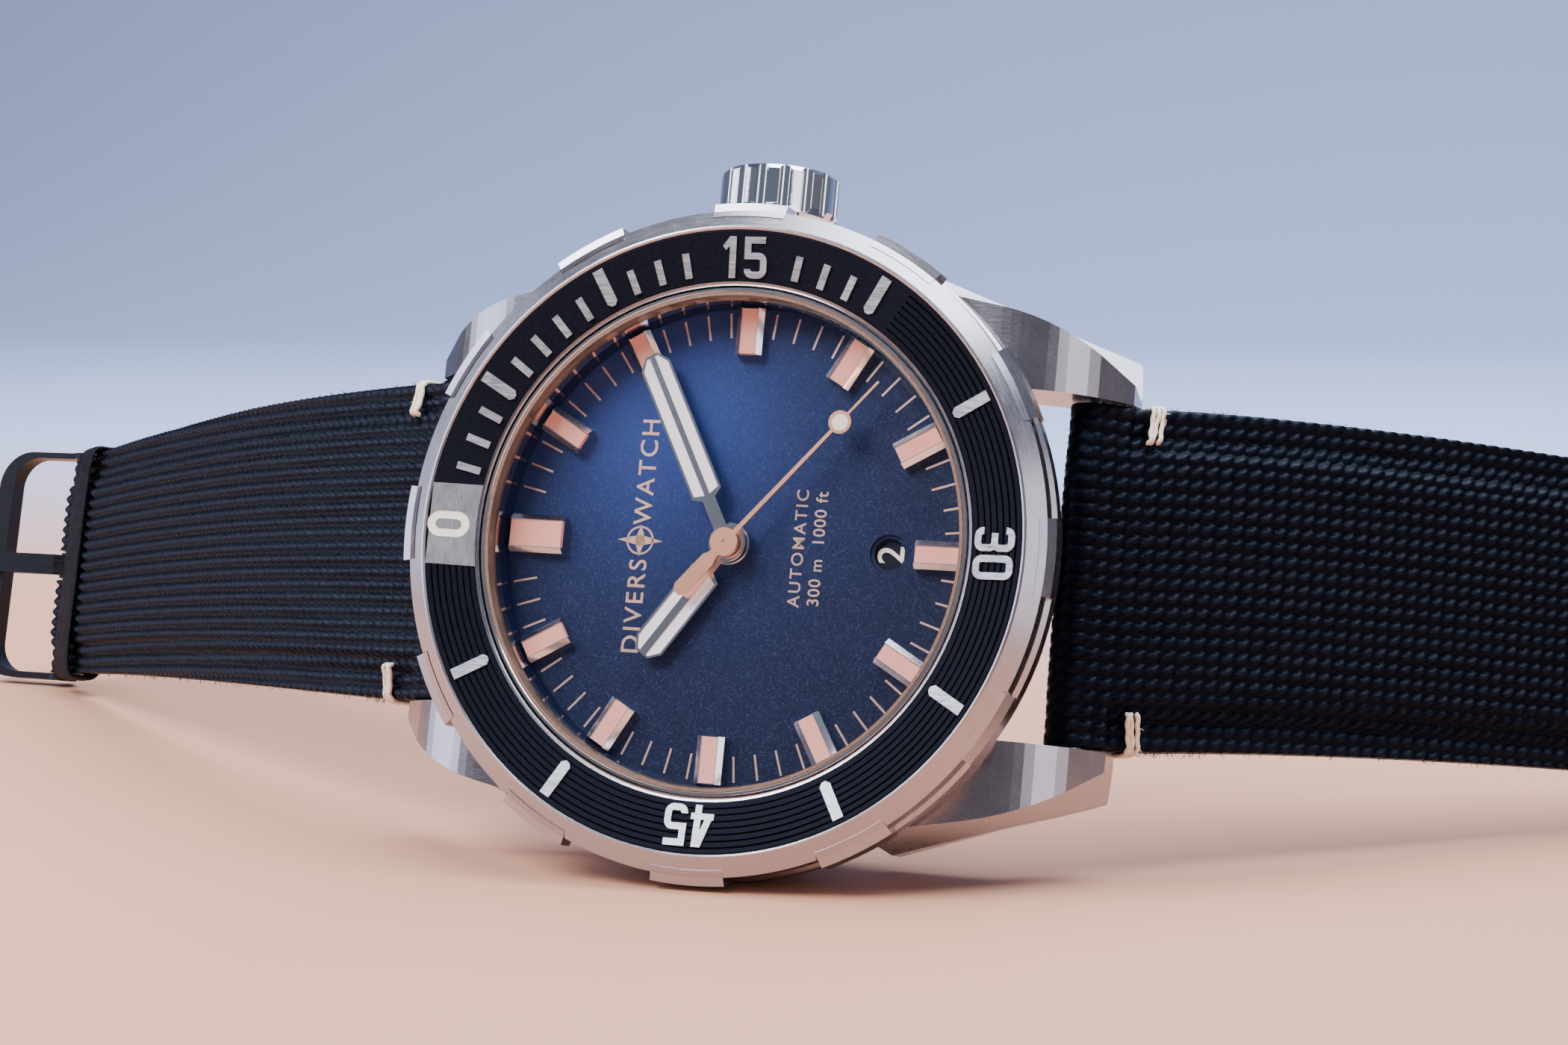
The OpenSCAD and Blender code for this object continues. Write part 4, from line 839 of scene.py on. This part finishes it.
def tack(place, half_width, thick, at, side):
    """Three waxed strands from the face over the strap's edge to its underside, with frayed ends."""
    half = float(half_width(at))
    top = float(thick(at)) / 2 * MARGIN_SHARE + 0.10
    foot = -float(thick(at)) / 2
    strands = []
    for lane in LANES:
        stray = rng.uniform(-0.12, 0.12, 4)
        route = np.array([
            (lane + stray[0], half - TACK_REACH, top + 0.25),
            (lane + stray[1] * 0.5, half - TACK_REACH + 0.25, top + 0.62),
            (lane * 1.1, half - 1.5, top + 0.40),
            (lane, half - 0.9, top + 0.22),
            (lane + stray[2] * 0.4, half - 0.25, top + 0.14),
            (lane, half + 0.12, top - 0.22),
            (lane * 0.9, half + 0.17, 0.0),
            (lane + stray[3] * 0.5, half + 0.12, foot + 0.30),
            (lane, half - 0.20, foot - 0.10),
            (lane, half - 1.0, foot - 0.12),
            (lane + stray[2], half - 1.6, foot - 0.02),
        ])
        route[:, 0] += 0.16 * (route[:, 1] - half) * (1 if lane else 1.3)
        fine = np.linspace(0, len(route) - 1, 44)
        s, v, height = (np.interp(fine, range(len(route)), route[:, k]) for k in range(3))
        wobble = 0.03 * np.sin(fine * 4.1 + lane * 9)
        strands.append(tube([place(*spot) for spot in zip(at + s + wobble, side * v, height)], STRAND_R))
    for _ in range(FRAYED_ENDS):
        start = np.array((at + rng.uniform(-0.35, 0.35), half - rng.uniform(0.0, 2.2), top + 0.30))
        bend = rng.uniform(-0.5, 0.5, 3) * (0.8, 0.5, 0.25) + (0, 0.25, 0.15)
        ends = [start + bend * t * np.array((1, 1, 1 - t * 0.7)) for t in np.linspace(0, 1, 6)]
        strands.append(tube([place(s, side * v, h) for s, v, h in ends], FRAYED_R, 4))
    return gather(strands)


for label, parts, at in (("short", short_side, 4.9), ("long", long_side, 3.65)):
    for end, side in (("crown", 1), ("left", -1)):
        piece(f"{label}_tack_{end}", *tack(*parts, at, side), f"{label}_strap", "cream_lume", thread)


def fuzz(parts, length, count):
    """Loose black fibres standing off the strap's cut edges, more of them near the lugs."""
    place, half_width, _ = parts
    hairs = []
    for _ in range(count):
        s = rng.uniform(-0.5, length) if rng.random() < 0.6 else rng.uniform(-0.5, 9)
        s = max(s, 0.2)
        side = rng.choice((-1, 1))
        start = np.array((s, float(half_width(s)) - 0.05, rng.uniform(-0.9, 0.8)))
        reach = rng.uniform(0.15, 0.42)
        bend = rng.uniform(-0.4, 0.4, 2)
        ends = [start + np.array((bend[0] * t * t, reach * t, bend[1] * t * t)) for t in np.linspace(0, 1, 5)]
        hairs.append(tube([place(s, side * v, h) for s, v, h in ends], FIBRE_R, 3))
    return gather(hairs)


piece("short_edge_fuzz", *fuzz(short_side, 68, 260), "short_strap", "black_fabric", weave)
piece("long_edge_fuzz", *fuzz(long_side, 100, 380), "long_strap", "black_fabric", weave)

# ---------- stage ----------

FLOOR_FRONT = -1.6
FLOOR_BACK = 0.55
STAGE_HALF_W = 2.5
SWEEP_R = 0.5
WALL_H = 2.0
TURN_FROM = 0.02
TURN_TO = 0.20
FLOOR_TONE = (0.58, 0.29, 0.18)
WALL_TONE = (0.46, 0.54, 0.84)


def stage_look():
    """Pale warm floor that turns to a pale blue-grey wall behind the watch."""
    material, tree, surface = shader("stage_pale", (0.7, 0.66, 0.62), 0.0, 0.6)
    parts = add(tree, "ShaderNodeSeparateXYZ", {0: add(tree, "ShaderNodeTexCoord").outputs["Object"]}).outputs
    depth = calc(tree, "ADD", parts[1], calc(tree, "MULTIPLY", parts[0], 0.33))
    wall = add(tree, "ShaderNodeMapRange", {
        "Value": depth, "From Min": TURN_FROM, "From Max": TURN_TO,
    }, interpolation_type="SMOOTHSTEP").outputs[0]
    tree.links.new(mix(tree, wall, FLOOR_TONE, WALL_TONE), surface.inputs["Base Color"])
    return material


profile = [(FLOOR_FRONT, 0.0), (FLOOR_BACK, 0.0)]
for t in np.linspace(0, math.pi / 2, 25)[1:]:
    profile.append((FLOOR_BACK + SWEEP_R * math.sin(t), SWEEP_R * (1 - math.cos(t))))
profile.append((FLOOR_BACK + SWEEP_R, WALL_H))
stage_mesh = bpy.data.meshes.new("stage")
stage_mesh.from_pydata(
    [(x, y, z) for y, z in profile for x in (-STAGE_HALF_W, STAGE_HALF_W)], [],
    [(2 * i, 2 * i + 1, 2 * i + 3, 2 * i + 2) for i in range(len(profile) - 1)],
)
stage_mesh.polygons.foreach_set("use_smooth", [True] * len(stage_mesh.polygons))
stage_mesh.materials.append(stage_look())
stage = bpy.data.objects.new("stage", stage_mesh)
bpy.context.collection.objects.link(stage)

# ---------- light ----------


def softbox(name, place, aim, size, power, colour):
    data = bpy.data.lights.new(name, "AREA")
    data.shape = "RECTANGLE"
    data.size, data.size_y = size
    data.energy = power
    data.color = colour
    lamp = bpy.data.objects.new(name, data)
    bpy.context.collection.objects.link(lamp)
    lamp.location = place
    lamp.rotation_euler = (Vector(aim) - Vector(place)).to_track_quat("-Z", "Y").to_euler()


HEAD = tuple(centre)
softbox("key", (-0.30, -0.30, 0.50), HEAD, (0.40, 0.30), 7.0, (0.93, 0.95, 1.0))
softbox("top", (0.12, 0.12, 0.60), HEAD, (0.7, 0.5), 11.0, (0.84, 0.92, 1.0))
softbox("side", (-0.60, -0.20, 0.26), HEAD, (0.5, 0.5), 3.0, (0.74, 0.80, 1.0))
softbox("fill", (0.55, -0.35, 0.20), HEAD, (0.3, 0.4), 0.9, (0.95, 0.93, 1.0))

world = bpy.data.worlds.new("world")
bpy.context.scene.world = world
world.use_nodes = True
sky = world.node_tree.nodes["Background"]
direction = add(world.node_tree, "ShaderNodeTexCoord").outputs["Generated"]
up = add(world.node_tree, "ShaderNodeSeparateXYZ", {0: direction}).outputs[2]
height_share = spread(world.node_tree, up, 0.0, 1.0, -0.2, 0.7)
tone = mix(world.node_tree, height_share, (0.62, 0.52, 0.50), (0.60, 0.74, 1.0))
world.node_tree.links.new(tone, sky.inputs["Color"])
sky.inputs["Strength"].default_value = 0.26
